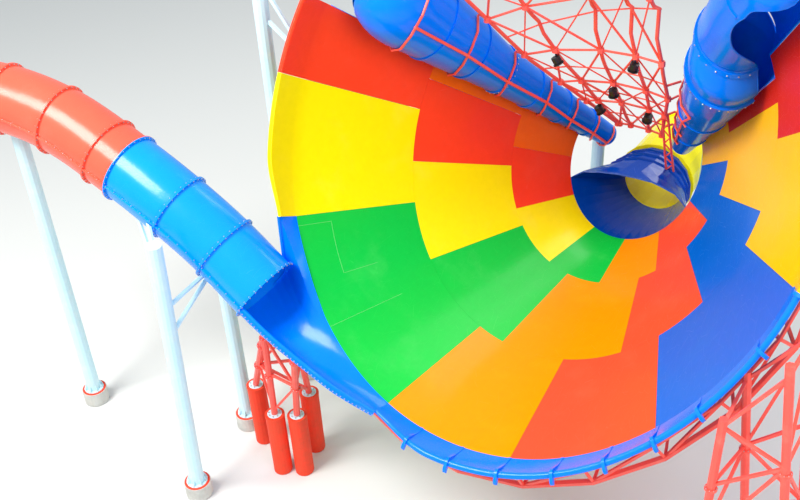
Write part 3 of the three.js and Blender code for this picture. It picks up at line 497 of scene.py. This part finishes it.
def back_flange(angle, t):
    """A flange along a line of (angle, t) on the panels' back, with bolts through it."""
    way = back_normal(angle, t)
    line = funnel_point(angle, t, cone_radius(t)) + way * flange_seat
    flange_parts.append(fin(line, way, flange_rise, flange_thickness))
    side = unit(np.cross(unit(np.gradient(line, axis=0)), way))
    for turn in (-1, 1):
        places = line + way * bolt_rise + side * turn * flange_thickness / 2
        bolt_parts.append(studs(places, side * turn, bolt_radius, bolt_height))


for course, joints in enumerate(course_joints):
    lengthwise = np.arange(course_ends[course] + 0.2, course_ends[course + 1] - 0.1, bolt_spacing)
    for k, joint in enumerate(joints):
        back_flange(np.full(len(lengthwise), float(joint)), lengthwise)
        if k + 1 < len(joints) and joints[k + 1] - joint > widest_plain_panel:
            back_flange(np.full(len(lengthwise), (joint + joints[k + 1]) / 2), lengthwise)
for t in course_ends[1:-1] + rib_stations:
    back_flange(rib_angles, np.full(len(rib_angles), t))
for line in (
    [(209.0, 0.02), (209.0, 1.25), (221.0, 1.25), (221.0, 2.6)],
    [(231.0, 0.02), (231.0, 3.0)],
):
    for (start, first), (end, last) in zip(line, line[1:]):
        around, lengthwise = np.linspace(start, end, 30), np.linspace(first, last, 30)
        bead = funnel_point(around, lengthwise, cone_radius(lengthwise))
        sealant_parts.append(tube(bead, bead_radius, 6))
piece("panel_flanges", flange_parts, rim_blue_gelcoat)
piece("panel_bolts", bolt_parts, plated_steel)
piece("panel_sealant", sealant_parts, sealant)


# Rim ears. The rim's mouldings meet in blue flanges that lie low on the flare and end in a rounded ear
# below the roll.
ear_half, ear_seat = 0.3, 0.03


def rim_ear(angle):
    """The flange at one joint: the rim's profile and that profile pushed out, over 90 mm of the way round."""
    share = float(rim_share(np.array(angle)))
    t, r = rim_t * share, mouth_half_width + rim_r * share
    normal = unit(np.stack([-np.gradient(r), np.gradient(t)], axis=-1))
    rise = (0.015 + 0.05 * smoothstep(-rim_t, 0.4, rim_reach)
            + 0.12 * smoothstep(rim_r, rim_rise + rim_roll, rim_rise + 2 * rim_roll))
    sides = []
    for turn in (-ear_half, ear_half):
        turned = np.full(len(t), angle + turn)
        foot = funnel_point(turned, t + ear_seat * normal[:, 0], r + ear_seat * normal[:, 1])
        edge = funnel_point(turned, t - rise * normal[:, 0], r - rise * normal[:, 1])
        sides.append(np.stack([foot, edge], axis=1))
    return shell(*sides)


blue_ears = (261.5, 271.5, 282.0, 293.0, 303.0, 312.5, 321.5, 335.0, 345.0)
piece("rim_ears_blue", [rim_ear(angle) for angle in blue_ears], rim_blue_gelcoat)

# Slot lips. Both edges of the slot end in large rolled tubes of blue gel coat, open by a slit toward the
# funnel: the left one runs the whole length, the right one begins as an open hood and goes on as a tube
# past its flange. They are moulded in lengths that meet in low seam rings.
left_edge, front_edge, rear_edge = 165.0, 393.0, 387.0
lip_gap, lip_skin, hem_radius = 0.0003, 0.05, 0.03
lip_columns = 72
lip_tail, lip_end = 13.5, 13.72
jog = course_ends[1]


def smooth_knots(at, places, values):
    """A smooth curve through knots: cubic pieces whose slopes are those of the knots on either side."""
    places, values = np.asarray(places, float), np.asarray(values, float)
    slopes = np.gradient(values, places)
    k = np.clip(np.searchsorted(places, at) - 1, 0, len(places) - 2)
    span = places[k + 1] - places[k]
    u = np.clip((at - places[k]) / span, 0, 1)
    return ((2 * u**3 - 3 * u**2 + 1) * values[k] + (u**3 - 2 * u**2 + u) * span * slopes[k]
            + (3 * u**2 - 2 * u**3) * values[k + 1] + (u**3 - u**2) * span * slopes[k + 1])


def edge_frame(angle, to_slot, t, lean):
    """The panels' edge at t, and two ways square to it: to the lip's centre, and to the funnel's inside."""
    edge = funnel_point(angle, t, cone_radius(t))
    along = unit(funnel_point(angle, t + 0.001, cone_radius(t + 0.001)) - edge)
    slotward = unit(funnel_point(angle + to_slot * 0.01, t, cone_radius(t)) - edge)
    inward = unit(np.cross(slotward, along))
    toward_axis = mouth_centre + np.asarray(t)[..., None] * axis - edge
    inward = inward * np.sign(np.sum(inward * toward_axis, axis=-1, keepdims=True))
    lean = np.radians(lean)[..., None]
    to_centre = slotward * np.cos(lean) + inward * np.sin(lean)
    to_funnel = inward * np.cos(lean) - slotward * np.sin(lean)
    return edge, to_centre, to_funnel


def round_lip(angle, to_slot, t, radius, lean, share, turn, offset):
    """edge + (r + gap - R cos turn) to the centre + R sin turn to the inside, where R = share r + offset."""
    edge, to_centre, to_funnel = edge_frame(angle, to_slot, t, lean)
    turn = np.radians(turn)
    reach = radius * share + offset
    return (edge + (radius + lip_gap - reach * np.cos(turn))[..., None] * to_centre
            + (reach * np.sin(turn))[..., None] * to_funnel)


def drawn_in(past, most, length, power):
    """The share of the radius left at a nose: (1 - (past / length)^2)^power."""
    return np.clip(1 - (np.clip(past, 0, most) / length) ** 2, 0, 1) ** power


def left_lip(t, turn, offset=0.0):
    """The left lip: it tapers along the slot, and both ends are drawn in to round noses."""
    t, turn = np.broadcast_arrays(np.asarray(t, float), np.asarray(turn, float))
    radius = np.interp(t, (0.35, 2.0, 7.0, lip_tail, lip_end), (1.68, 1.578, 0.912, 0.470, 0.457))
    share = drawn_in(2.0 - t, 1.66, 1.68, 0.32) * drawn_in(t - lip_tail, 0.24, 0.25, 0.5)
    return round_lip(left_edge, -1, t, radius, np.full(t.shape, 40.0), share, turn, offset)


def right_lip(t, turn, offset=0.0):
    """The right lip: on the front edge up to the step in the panels, then over to the edge behind it."""
    t, turn = np.broadcast_arrays(np.asarray(t, float), np.asarray(turn, float))
    front_radius = smooth_knots(t, (0.45, 1.9, 3.3, 4.7, 5.5), (1.29, 1.30, 1.32, 1.29, 1.32))
    front_lean = np.interp(t, (0.45, 1.0, 4.7), (34.0, 34.0, 40.0))
    nose = drawn_in(1.2 - t, 0.8, 0.95, 0.45)
    front = round_lip(front_edge, 1, t, front_radius, front_lean, nose, turn, offset)
    step = funnel_point(rear_edge, t, cone_radius(t)) - funnel_point(front_edge, t, cone_radius(t))
    close = 1 - np.minimum(1, np.abs(turn) / 90)
    front = front + step * (close * (t > jog))[..., None]
    rear_radius = np.interp(t, (5.5, 7.3, 10.4, lip_tail, lip_end), (1.410, 1.150, 0.805, 0.470, 0.457))
    rear_lean = np.interp(t, (5.5, 7.3), (44.0, 57.0))
    tail = drawn_in(t - lip_tail, 0.24, 0.25, 0.5)
    rear = round_lip(rear_edge, 1, t, rear_radius, rear_lean, tail, turn, offset)
    passed = smoothstep(t, jog + 0.06, 5.5)[..., None]
    return front * (1 - passed) + rear * passed


def hood_cover(t):
    """How far round the hood's wall goes: nearly all round at its nose, and cut back over its mouth."""
    return smooth_knots(t, (0.45, 0.75, 1.0, 1.9, 3.0, 3.5, 3.9, 4.76, 5.5),
                        (335, 318, 292, 270, 270, 284, 308, 336, 345))


def rolled(surface, t, cover):
    """A lip's shell: its wall from turn 0 round to the free edge, over the stations t."""
    turn = -np.linspace(0, 1, lip_columns)[:, None] * cover[None]
    stations = np.broadcast_to(t[None], turn.shape)
    return shell(surface(stations, turn, 0.0), surface(stations, turn, -lip_skin))


def lip_ring(surface, t, cover, height=0.045, width=0.05):
    """A seam ring round a lip, where two mouldings meet in a low flange."""
    turn = -np.linspace(0.01, 1, lip_columns)[:, None] * cover
    stations = np.broadcast_to([t - width, t - width, t, t + width, t + width], (lip_columns, 5))
    lift = np.array([-0.01, height, height, height, -0.01])
    return shell(surface(stations, turn, -0.02), surface(stations, turn, lift))


def hem(surface, t, cover):
    """The rounded hem along a lip's free edge."""
    return tube(surface(t, -cover, -lip_skin / 2), hem_radius, 8)


full_cover = 345.0
tail_t = np.linspace(lip_tail, lip_end, 8)
left_t = np.concatenate([np.linspace(0.35, 1.0, 12), np.linspace(1.1, 13.4, 60), tail_t])
left_cover = np.full(len(left_t), full_cover)
piece("slot_lip_skin_left",
      [rolled(left_lip, left_t, left_cover), hem(left_lip, left_t[6:-6], left_cover[6:-6])]
      + [lip_ring(left_lip, t, full_cover) for t in (3.2, 5.2, 6.9, 8.6, 10.4, 12.1)],
      rim_blue_gelcoat, ["slot_lip_left"], crease=50)
hood_t = np.linspace(0.45, jog, 48)
piece("slot_hood_skin",
      [rolled(right_lip, hood_t, hood_cover(hood_t)), hem(right_lip, hood_t[1:], hood_cover(hood_t[1:])),
       lip_ring(right_lip, 2.05, 262.0)],
      rim_blue_gelcoat, ["slot_hood_right"], crease=50)
rear_t = np.concatenate([np.linspace(jog + 0.06, 5.6, 14), np.linspace(5.7, 13.4, 44), tail_t])
rear_cover = hood_cover(rear_t)
piece("slot_lip_skin_right",
      [rolled(right_lip, rear_t, rear_cover), hem(right_lip, rear_t[:-6], rear_cover[:-6])]
      + [lip_ring(right_lip, t, hood_cover(t)) for t in (4.9, 9.2, 11.6)]
      + [lip_ring(right_lip, 6.05, full_cover, height=0.09, width=0.07)],
      rim_blue_gelcoat, ["slot_lip_right"], crease=50)
lip_studs = []
for surface, t, last, spacing, height in (
    (right_lip, 6.05, full_cover, 12.0, 0.09),
    (right_lip, 4.9, 330.0, 16.0, 0.045),
    (left_lip, 6.9, full_cover, 14.0, 0.045),
):
    places = surface(t, -np.arange(6.0, last, spacing), height)
    centre = surface(t, np.arange(0.0, 360.0, 12.0)).mean(axis=0)
    lip_studs.append(studs(places, places - centre, 0.028, 0.03))
piece("lip_bolts", lip_studs, plated_steel)

# Entry flume. Closed tubes of about 2.4 m in seven bays, three blue and four faded red: each bay is two half
# shells bolted along the sides, and the bays are bolted through round flanges.
tube_blue_gelcoat = gelcoat("tube_blue_gelcoat", (0.0, 0.30, 1.0), (0.03, 0.45, 1.0), gloss=0.32)
faded_red_gelcoat = gelcoat("faded_red_gelcoat", (1.0, 0.12, 0.07), (1.0, 0.28, 0.20), gloss=0.32)
flume_radius, flume_wall = 1.22, 0.07
flange_height, flange_width, seam_height, seam_width = 0.09, 0.035, 0.085, 0.06
bay_gap, station_length = 0.002, 0.16
flume_joints = (0.0, 2.0, 4.1, 6.4, 7.4, 9.6, 11.8, 14.0)
blue_bays = 3


def spline(knots):
    """A smooth curve through the knots, 80 points to a piece: cubic pieces that share slopes at the knots.

    A knot's slope comes from both its neighbours, with each step weighed by the root of its length.
    """
    knots = np.asarray(knots, float)
    knots = np.concatenate([2 * knots[:1] - knots[1:2], knots, 2 * knots[-1:] - knots[-2:-1]])
    step = np.sqrt(np.linalg.norm(np.diff(knots, axis=0), axis=1))
    w = np.linspace(0, 1, 80)[:, None]
    pieces = []
    for k in range(1, len(knots) - 2):
        p0, p1, p2, p3 = knots[k - 1:k + 3]
        d0, d1, d2 = step[k - 1:k + 2]
        start = ((p1 - p0) / d0 - (p2 - p0) / (d0 + d1) + (p2 - p1) / d1) * d1
        end = ((p2 - p1) / d1 - (p3 - p1) / (d1 + d2) + (p3 - p2) / d2) * d1
        pieces.append(p1 + start * w + (3 * (p2 - p1) - 2 * start - end) * w**2
                      + (2 * (p1 - p2) + start + end) * w**3)
    return np.concatenate(pieces)


def run_lengths(line):
    """The length along a polyline from its start to each of its points."""
    return np.concatenate([[0], np.cumsum(np.linalg.norm(np.diff(line, axis=0), axis=1))])


def along_line(line, lengths, at):
    """The places on a polyline at given lengths from its start."""
    return np.stack([np.interp(at, lengths, line[:, k]) for k in range(3)], axis=-1)


def even(line, count):
    """A polyline resampled at even lengths: its points, and the length from its start to each."""
    lengths = run_lengths(line)
    at = np.linspace(0, lengths[-1], count)
    return along_line(line, lengths, at), at


flume_line, flume_at = even(spline(site + np.array([
    (-7.740, -4.710, 9.585), (-9.500, -4.600, 10.850), (-11.300, -4.600, 12.000), (-13.300, -4.500, 12.900),
    (-16.100, -4.500, 14.050), (-18.600, -4.900, 14.650), (-21.400, -6.000, 14.950),
])), 400)
flume_along = unit(np.gradient(flume_line, axis=0))


def flume_point(distance, turn, radius):
    """centre + radius (side cos(turn) + rise sin(turn)) at a distance along the flume."""
    distance, turn, radius = np.broadcast_arrays(np.asarray(distance, float), np.radians(turn), radius)
    along = unit(along_line(flume_along, flume_at, distance))
    side = unit(np.cross(along, up))
    rise = np.cross(side, along)
    return (along_line(flume_line, flume_at, distance)
            + radius[..., None] * (np.cos(turn)[..., None] * side + np.sin(turn)[..., None] * rise))


def hoop(stations, inner, outer):
    """A closed band of the flume over some stations, between an inner and an outer radius."""
    turns = np.linspace(0, 360, 72, endpoint=False)[:, None]
    walls = [flume_point(stations[None], turns, radius) for radius in (inner, outer)]
    return shell(*walls, wrap=True)


for bay, (start, end) in enumerate(zip(flume_joints, flume_joints[1:])):
    start, end = start + bay_gap, end - bay_gap
    stations = np.linspace(start, end, max(6, round((end - start) / station_length)))
    parts = [hoop(stations, flume_radius - flume_wall, flume_radius)]
    for near, far in ((start, start + flange_width), (end - flange_width, end)):
        parts.append(hoop(np.array([near, far]), flume_radius - 0.02, flume_radius + flange_height))
    for turn in (0.0, 180.0):
        seam = flume_point(stations, turn, flume_radius - 0.01)
        parts.append(fin(seam, seam - flume_point(stations, turn, 0.0), seam_height, seam_width))
    if bay < blue_bays:
        node, material, slot = f"flume_blue_{bay + 1}", tube_blue_gelcoat, "gelcoat_blue"
    else:
        node, material, slot = f"flume_red_{bay + 1 - blue_bays}", faded_red_gelcoat, "flume_red"
    piece(f"{node}_shell", parts, material, [node])

bolts = []
for joint in flume_joints:
    for step in (-1, 1):
        at = np.clip(joint + step * (flange_width + bay_gap), 0, flume_joints[-1])
        places = flume_point(at, np.arange(6.0, 360.0, 12.0), flume_radius + 0.05)
        way = step * (flume_point(joint + 0.1, 0, 0.0) - flume_point(joint, 0, 0.0))
        bolts.append(studs(places, way, 0.024, 0.026))
for turn in (0.0, 180.0):
    at = np.arange(0.3, 13.8, 0.4)
    centres = flume_point(at, turn, 0.0)
    places = flume_point(at, turn, flume_radius + 0.04)
    ways = unit(np.cross(places - centres, flume_point(at + 0.1, turn, 0.0) - centres))
    for step in (-1, 1):
        bolts.append(studs(places + ways * 0.03 * step, ways * step, 0.022, 0.024))
piece("flume_bolts", bolts, plated_steel)

# Entry trough. One wide moulding that takes the rafts from the flume to the rim: it wraps the tube's floor,
# rises in a fin to the rim's corner, and opens out as it runs down; its near edge ends in a bolted roll.
mouth_gap = 0.0005
trough_depth = 1.75
trough_skin = 0.06
trough_rows = 12
fin_end = 0.5
near_roll, fin_roll = 0.075, 0.05
near_flange, near_flange_width = 0.16, 0.05


def rim_tip(angle):
    """The end of the rim's roll at an angle."""
    share = rim_share(np.asarray(angle, float))
    radius = mouth_half_width + (rim_rise + rim_roll) * share
    return funnel_point(angle, -(rim_reach + rim_roll) * share, radius)


trough_near = spline(np.concatenate([site + np.array([
    (-7.70, -5.94, 9.585), (-6.60, -6.08, 8.930), (-5.20, -6.18, 8.380), (-4.00, -6.28, 7.940),
]), rim_tip(trough_to)[None]]))
end_line = np.concatenate([
    funnel_point(trough_from, -mouth_gap, mouth_half_width)[None], rim_tip(trough_from)[None],
    flume_point(0.0, np.arange(0, -181, -20), flume_radius - flume_wall) - flume_along[0] * 0.001,
])
end_lengths = run_lengths(end_line)
fin_low, fin_high = end_lengths[1] / end_lengths[-1], end_lengths[2] / end_lengths[-1]


def trough_grid(angles, rows):
    """The wet side: rows 0 to 12 go from the mouth's edge to the near edge.

    At an angle's share s of the way, the open section is a cubic from edge to edge, hung down by
    1.75 (1 - s)^1.3 + 0.06; near the flume it gives way to the fin and the round of the tube.
    """
    share = (angles - trough_from) / (trough_to - trough_from)
    start = funnel_point(angles, -mouth_gap, mouth_half_width)
    end = along_line(trough_near, np.linspace(0, 1, len(trough_near)), share)
    s = share[:, None]
    depth = trough_depth * (1 - s)**1.3 + 0.06
    outer_way = unit(funnel_point(angles, 0.0, 1.0) - mouth_centre)
    sag = unit(unit(np.array([-0.2, 0.0, -1.0])) * (1 - s) + outer_way * s)
    first = start + (end - start) * 0.22 + sag * depth * (1 + 0.85 * (1 - s))
    second = start + (end - start) * 0.9 + sag * depth
    u = np.linspace(0, 1, 120)[None, :, None]
    sections = ((1 - u)**3 * start[:, None] + 3 * u * (1 - u)**2 * first[:, None]
                + 3 * u**2 * (1 - u) * second[:, None] + u**3 * end[:, None])
    lengths = [run_lengths(section) for section in sections]
    open_rows = np.stack([along_line(section, length, rows / trough_rows * length[-1])
                          for section, length in zip(sections, lengths)])
    stops = np.concatenate([[0, fin_low, 0.55 * fin_low + 0.45 * fin_high], np.linspace(fin_high, 1, 10)])
    at = np.interp(rows, np.arange(trough_rows + 1), stops) * end_lengths[-1]
    opened = smoothstep(share, 0, fin_end)[:, None, None]
    return along_line(end_line, end_lengths, at)[None] * (1 - opened) + open_rows * opened


trough_angles = trough_from + (trough_to - trough_from) * np.linspace(0, 1, 70)**1.3
trough_wet = trough_grid(trough_angles, np.linspace(0, trough_rows, 61))
trough_way = unit(np.cross(np.gradient(trough_wet, axis=0), np.gradient(trough_wet, axis=1)))
spoke = trough_wet[0, 15:] - flume_line[0]
trough_way[0, 15:] = unit(spoke - (spoke @ flume_along[0])[:, None] * flume_along[0])
near_edge = trough_wet[:, -1] + trough_way[:, -1] * trough_skin / 2
fin_edge = trough_wet[0, 5:16] + trough_way[0, 5:16] * trough_skin / 2
piece("entry_trough_shell", [
    shell(trough_wet, trough_wet + trough_way * trough_skin),
    tube(near_edge, near_roll, 12),
    tube(fin_edge, fin_roll, 10),
    fin(near_edge, trough_way[:, -1], near_flange, near_flange_width),
], rim_blue_gelcoat, ["entry_trough"], crease=50)
bolt_places = even(near_edge + trough_way[:, -1] * 0.11, 40)[0] + np.array([0.0, -0.03, 0.02])
piece("trough_bolts", [studs(bolt_places, (0.0, -1.0, 0.4), 0.024, 0.03)], plated_steel)

# Exit. The hood under the small end is a moulded navy shell with stepped ridges, bolted to the last course,
# and the round exit tube in the panels' yellow carries on from it. Both keep the frame's own shapes.
navy_gelcoat = gelcoat("navy_gelcoat", (0.0, 0.055, 0.42), (0.0, 0.10, 0.60), roughness=0.14, gloss=0.32)
finish_nodes(navy_gelcoat, "exit_hood")
finish_nodes(yellow_gelcoat, "exit_tube")

# Steelwork. The towers, the truss under the rim and the ribs round the lips are welded steel tube, primed
# and painted a satin coral red that picks up dust. The posts are rolled tube, painted pale blue-white.
coral_paint = steel_paint("coral_paint", (1.0, 0.105, 0.075), (1.0, 0.26, 0.20))
pale_paint = steel_paint("pale_paint", (0.60, 0.86, 0.94), (0.78, 0.88, 0.88))
finish_nodes(coral_paint, "lattice_tower", "ring_truss", "lip_ribs")
finish_nodes(pale_paint, "post_")

# Lattice over the slot. Five long chords of round tube close up toward the small end; frames, crossed
# diagonals and ties are welded between them, with a plate at each joint and a slender column below.
chord_radius, web_radius, brace_radius = 0.07, 0.045, 0.03
lattice_start, lattice_end, arch_height, arch_length = 1.7, 12.9, 0.8, 14.5
lattice_frames = np.array([1.70, 4.29, 6.69, 8.96, 10.68, 12.90])
chord_shares = {
    "a": (0, 0, 0, 0, 0, 0),
    "b": (0.2, 0.2, 0.22, 0.2, 0.15, 0.05),
    "c": (0.52, 0.52, 0.53, 0.5, 0.45, 0.3),
    "d": (0.69, 0.69, 0.76, 0.8, 0.8, 0.7),
    "e": (0.81, 0.81, 0.93, 1, 1, 1),
}


def chord_at(chord, t):
    """A chord's place: so far across from over the left lip to over the right one, on an arch 0.8 m high."""
    t = np.asarray(t, float)
    share = np.interp(t, lattice_frames, chord_shares[chord])[..., None]
    left = left_lip(t, 165.0, 0.5)
    right = right_lip(np.where(t < 5.5, np.minimum(t, jog - 0.001), t), 165.0, 0.45)
    arch = arch_height * (1 - t[..., None] / arch_length) * 4 * share * (1 - share)
    return left + (right - left) * share + up * arch


def chord_tubes(chords):
    """The long chords themselves."""
    stations = np.linspace(lattice_start, lattice_end, 26)
    return [tube(chord_at(chord, stations), chord_radius, 10) for chord in chords]


def lattice_bars(chords):
    """Frames, and crossed diagonals with a tie at mid bay, between neighbouring chords."""
    bars = []
    for near, far in zip(chords, chords[1:]):
        for k, t in enumerate(lattice_frames):
            bars.append(tube([chord_at(near, t), chord_at(far, t)], web_radius, 8))
            if k + 1 < len(lattice_frames):
                after = lattice_frames[k + 1]
                middle = (t + after) / 2
                start, end = (near, far) if k % 2 else (far, near)
                bars.append(tube([chord_at(start, t), chord_at(end, after)], web_radius, 8))
                bars.append(tube([chord_at(end, t), chord_at(start, after)], brace_radius, 6))
                bars.append(tube([chord_at(near, middle), chord_at(far, middle)], brace_radius, 6))
    return bars


def lip_struts(surface, chord, stations):
    """Struts from the ribs on top of a lip up to the chord over it."""
    struts = []
    for t in stations:
        rib_top = surface(t, 180.0, 0.033 * (1.5 - 1.05 * t / lip_tail) + 0.09)
        struts.append(tube([rib_top, chord_at(chord, t)], web_radius, 8))
    return struts


column_foot = site + (1.25, 11.3, 8.0)
column_half, column_bays = (0.16, 0.11), 8
column_sides, column_bars = [], []
for side in (-1, 1):
    foot_point = column_foot + across * column_half[0] * side
    head_point = chord_at("e", lattice_frames[4]) + across * column_half[1] * side
    column_sides.append(foot_point + (head_point - foot_point) * np.linspace(0, 1, column_bays + 1)[:, None])
    column_bars.append(tube([foot_point, head_point], 0.05, 8))
for k in range(column_bays):
    column_bars.append(tube([column_sides[k % 2][k], column_sides[1 - k % 2][k + 1]], brace_radius, 6))
left_bars = chord_tubes("abc") + lattice_bars("abc") + lip_struts(left_lip, "a", lattice_frames[:-1])
piece("slot_lattice_tubes_left", left_bars, coral_paint, ["slot_lattice_left"])
right_bars = chord_tubes("de") + lattice_bars("cde") + lip_struts(right_lip, "e", (7.93, 9.18, 10.7, 12.0))
piece("slot_lattice_tubes_right", right_bars + column_bars, coral_paint,
      ["slot_lattice_right"])
lattice_nodes = np.array([chord_at(chord, t) for chord in "abcde" for t in lattice_frames])
piece("lattice_joints", [studs(lattice_nodes - up * 0.10, up, 0.13, 0.20, 8)], coral_paint)

# Floodlights. Black cast housings with glass lenses, on yokes that are clamped to the lattice's joints and
# aimed into the funnel.
black_paint = steel_paint("black_paint", (0.012, 0.012, 0.014), (0.06, 0.06, 0.06))
lamp_drop, lamp_length, lamp_radius = 0.28, 0.30, 0.17
lamp_parts, lens_parts = [], []
for chord, t in (("b", 6.69), ("c", 8.96), ("d", 6.69), ("d", 10.68), ("b", 10.68)):
    place = chord_at(chord, t) - up * lamp_drop
    way = unit(mouth_centre + axis * (t + 1.5) - place)
    lamp_parts.append(studs(place, way, lamp_radius, lamp_length, 12))
    lamp_parts.append(studs(place + way * 0.27, way, lamp_radius + 0.04, 0.05, 12))
    lamp_parts.append(tube([place + way * 0.12, place + up * 0.24], 0.035, 6))
    lens_parts.append(studs(place + way * 0.315, way, lamp_radius - 0.01, 0.015, 12))
piece("floodlight_housings", lamp_parts, black_paint)
piece("floodlight_lenses", lens_parts, plated_steel)

# Piers and plinths. Cast concrete, with rain stains and the small pits that air leaves at the formwork: the
# towers' round piers are painted red and have a flat cap, and the posts stand on bare plinths. Steel base
# plates are bolted down through grout, and gussets stiffen the posts' feet.
cast_concrete, taken, given = effect_group("cast_concrete", ("Colour", "Stain"))
where = put(cast_concrete, "ShaderNodeTexCoord").outputs["Object"]
stain = noise(cast_concrete, where, 1.6, 8, 0.7)
pits = put(cast_concrete, "ShaderNodeTexVoronoi", {"Vector": where, "Scale": 22.0})
relief = put(cast_concrete, "ShaderNodeBump", {
    "Height": ramp(cast_concrete, pits.outputs["Distance"], 0.0, 0.12, 0.0, 1.0),
    "Strength": 0.35, "Distance": 0.01})
washed = blend_colours(
    cast_concrete, ramp(cast_concrete, stain, 0.42, 0.72, 0.0, 0.7), taken["Colour"], taken["Stain"])
cast_concrete.links.new(washed, given["Colour"])
cast_concrete.links.new(ramp(cast_concrete, stain, 0.0, 1.0, 0.55, 0.9), given["Roughness"])
cast_concrete.links.new(relief.outputs["Normal"], given["Normal"])
pier_paint = effect_material(
    "pier_paint", cast_concrete, Colour=(0.95, 0.052, 0.012), Stain=(0.68, 0.08, 0.032))[0]
bare_concrete = effect_material(
    "bare_concrete", cast_concrete, Colour=(0.62, 0.62, 0.58), Stain=(0.40, 0.39, 0.36))[0]
finish_nodes(pier_paint, "tower_pier")
finish_nodes(bare_concrete, "plinth")


def collar(centre, inner, outer, bottom, top):
    """A flat upright ring round a centre, between two radii and two heights."""
    turn = np.linspace(0, 2 * np.pi, 36, endpoint=False)[:, None]
    rings = []
    for radius in (inner, outer):
        east, north = centre[0] + radius * np.cos(turn), centre[1] + radius * np.sin(turn)
        rings.append(np.stack(np.broadcast_arrays(east, north, [bottom, top]), axis=-1))
    return shell(*rings, wrap=True)


pier_radius, plinth_radius = 0.37, 0.52
gusset_reach, gusset_height = (0.26, 0.33, 0.40), np.array([0.30, 0.20, 0.03])
eighths = np.linspace(0, 2 * np.pi, 8, endpoint=False)
spokes = np.stack([np.cos(eighths + np.pi / 8), np.sin(eighths + np.pi / 8), 0 * eighths], axis=-1)
plates, caps, anchors = [], [], []
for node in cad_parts:
    if node.startswith(("tower_pier", "plinth")):
        lowest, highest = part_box(node)
        top = highest[2]
        head = (np.array(lowest) + np.array(highest)) / 2 * (1, 1, 0) + up * top
        if node.startswith("tower_pier"):
            caps.append(collar(head, 0.27, pier_radius + 0.012, top - 0.10, top + 0.012))
            plates.append(studs(head - up * 0.01, up, 0.28, 0.05, 24))
            anchors.append(studs(head + spokes * 0.22 + up * 0.03, up, 0.028, 0.05))
        else:
            caps.append(collar(head, 0.30, plinth_radius - 0.03, top - 0.02, top + 0.018))
            anchors.append(studs(head + spokes * 0.35 + up * 0.055, up, 0.030, 0.05))
            for spoke in spokes:
                plates.append(fin([head + spoke * reach + up * 0.05 for reach in gusset_reach],
                                  up, gusset_height, 0.02))
piece("pier_plates", plates, pale_paint)
piece("pier_caps", caps, pier_paint)
piece("anchor_bolts", anchors, plated_steel)

# Tower joints. The towers' legs are steel tubes that come in lengths and meet in round welded flanges,
# bolted through.
pier_top = 3.0
left_tower = (
    ((-10.25, -3.30), (-8.60, -4.30), (-7.80, -3.95), (-8.10, -2.70)),
    ((-8.15, -4.60, 7.60), (-8.10, -4.70, 8.70), (-6.65, -4.90, 7.90), (-7.35, -4.10, 8.70)),
    (0.38, 0.73),
)
right_tower = (
    ((7.69, -4.46), (10.35, -4.46), (10.40, -2.30), (8.80, -2.70)),
    ((7.71, -4.46, 10.30), (9.05, -4.46, 12.80), (9.25, -2.94, 13.10), (7.84, -2.94, 10.90)),
    (0.30, 0.62),
)
leg_joints, leg_bolts = [], []
for feet, heads, levels in (left_tower, right_tower):
    for foot, head in zip(feet, heads):
        foot_point, head_point = site + (*foot, pier_top), site + head
        leg = unit(head_point - foot_point)
        side = unit(np.cross(leg, across))
        ring = np.cos(eighths)[:, None] * side + np.sin(eighths)[:, None] * np.cross(leg, side)
        for level in levels:
            joint_point = foot_point + (head_point - foot_point) * level
            for step in (-1, 1):
                leg_joints.append(studs(joint_point, leg * step, 0.19, 0.035, 20))
            leg_bolts.append(studs(joint_point + ring * 0.155 + leg * 0.03, leg, 0.018, 0.03))
piece("tower_joint_flanges", leg_joints, coral_paint)
piece("tower_joint_bolts", leg_bolts, plated_steel)
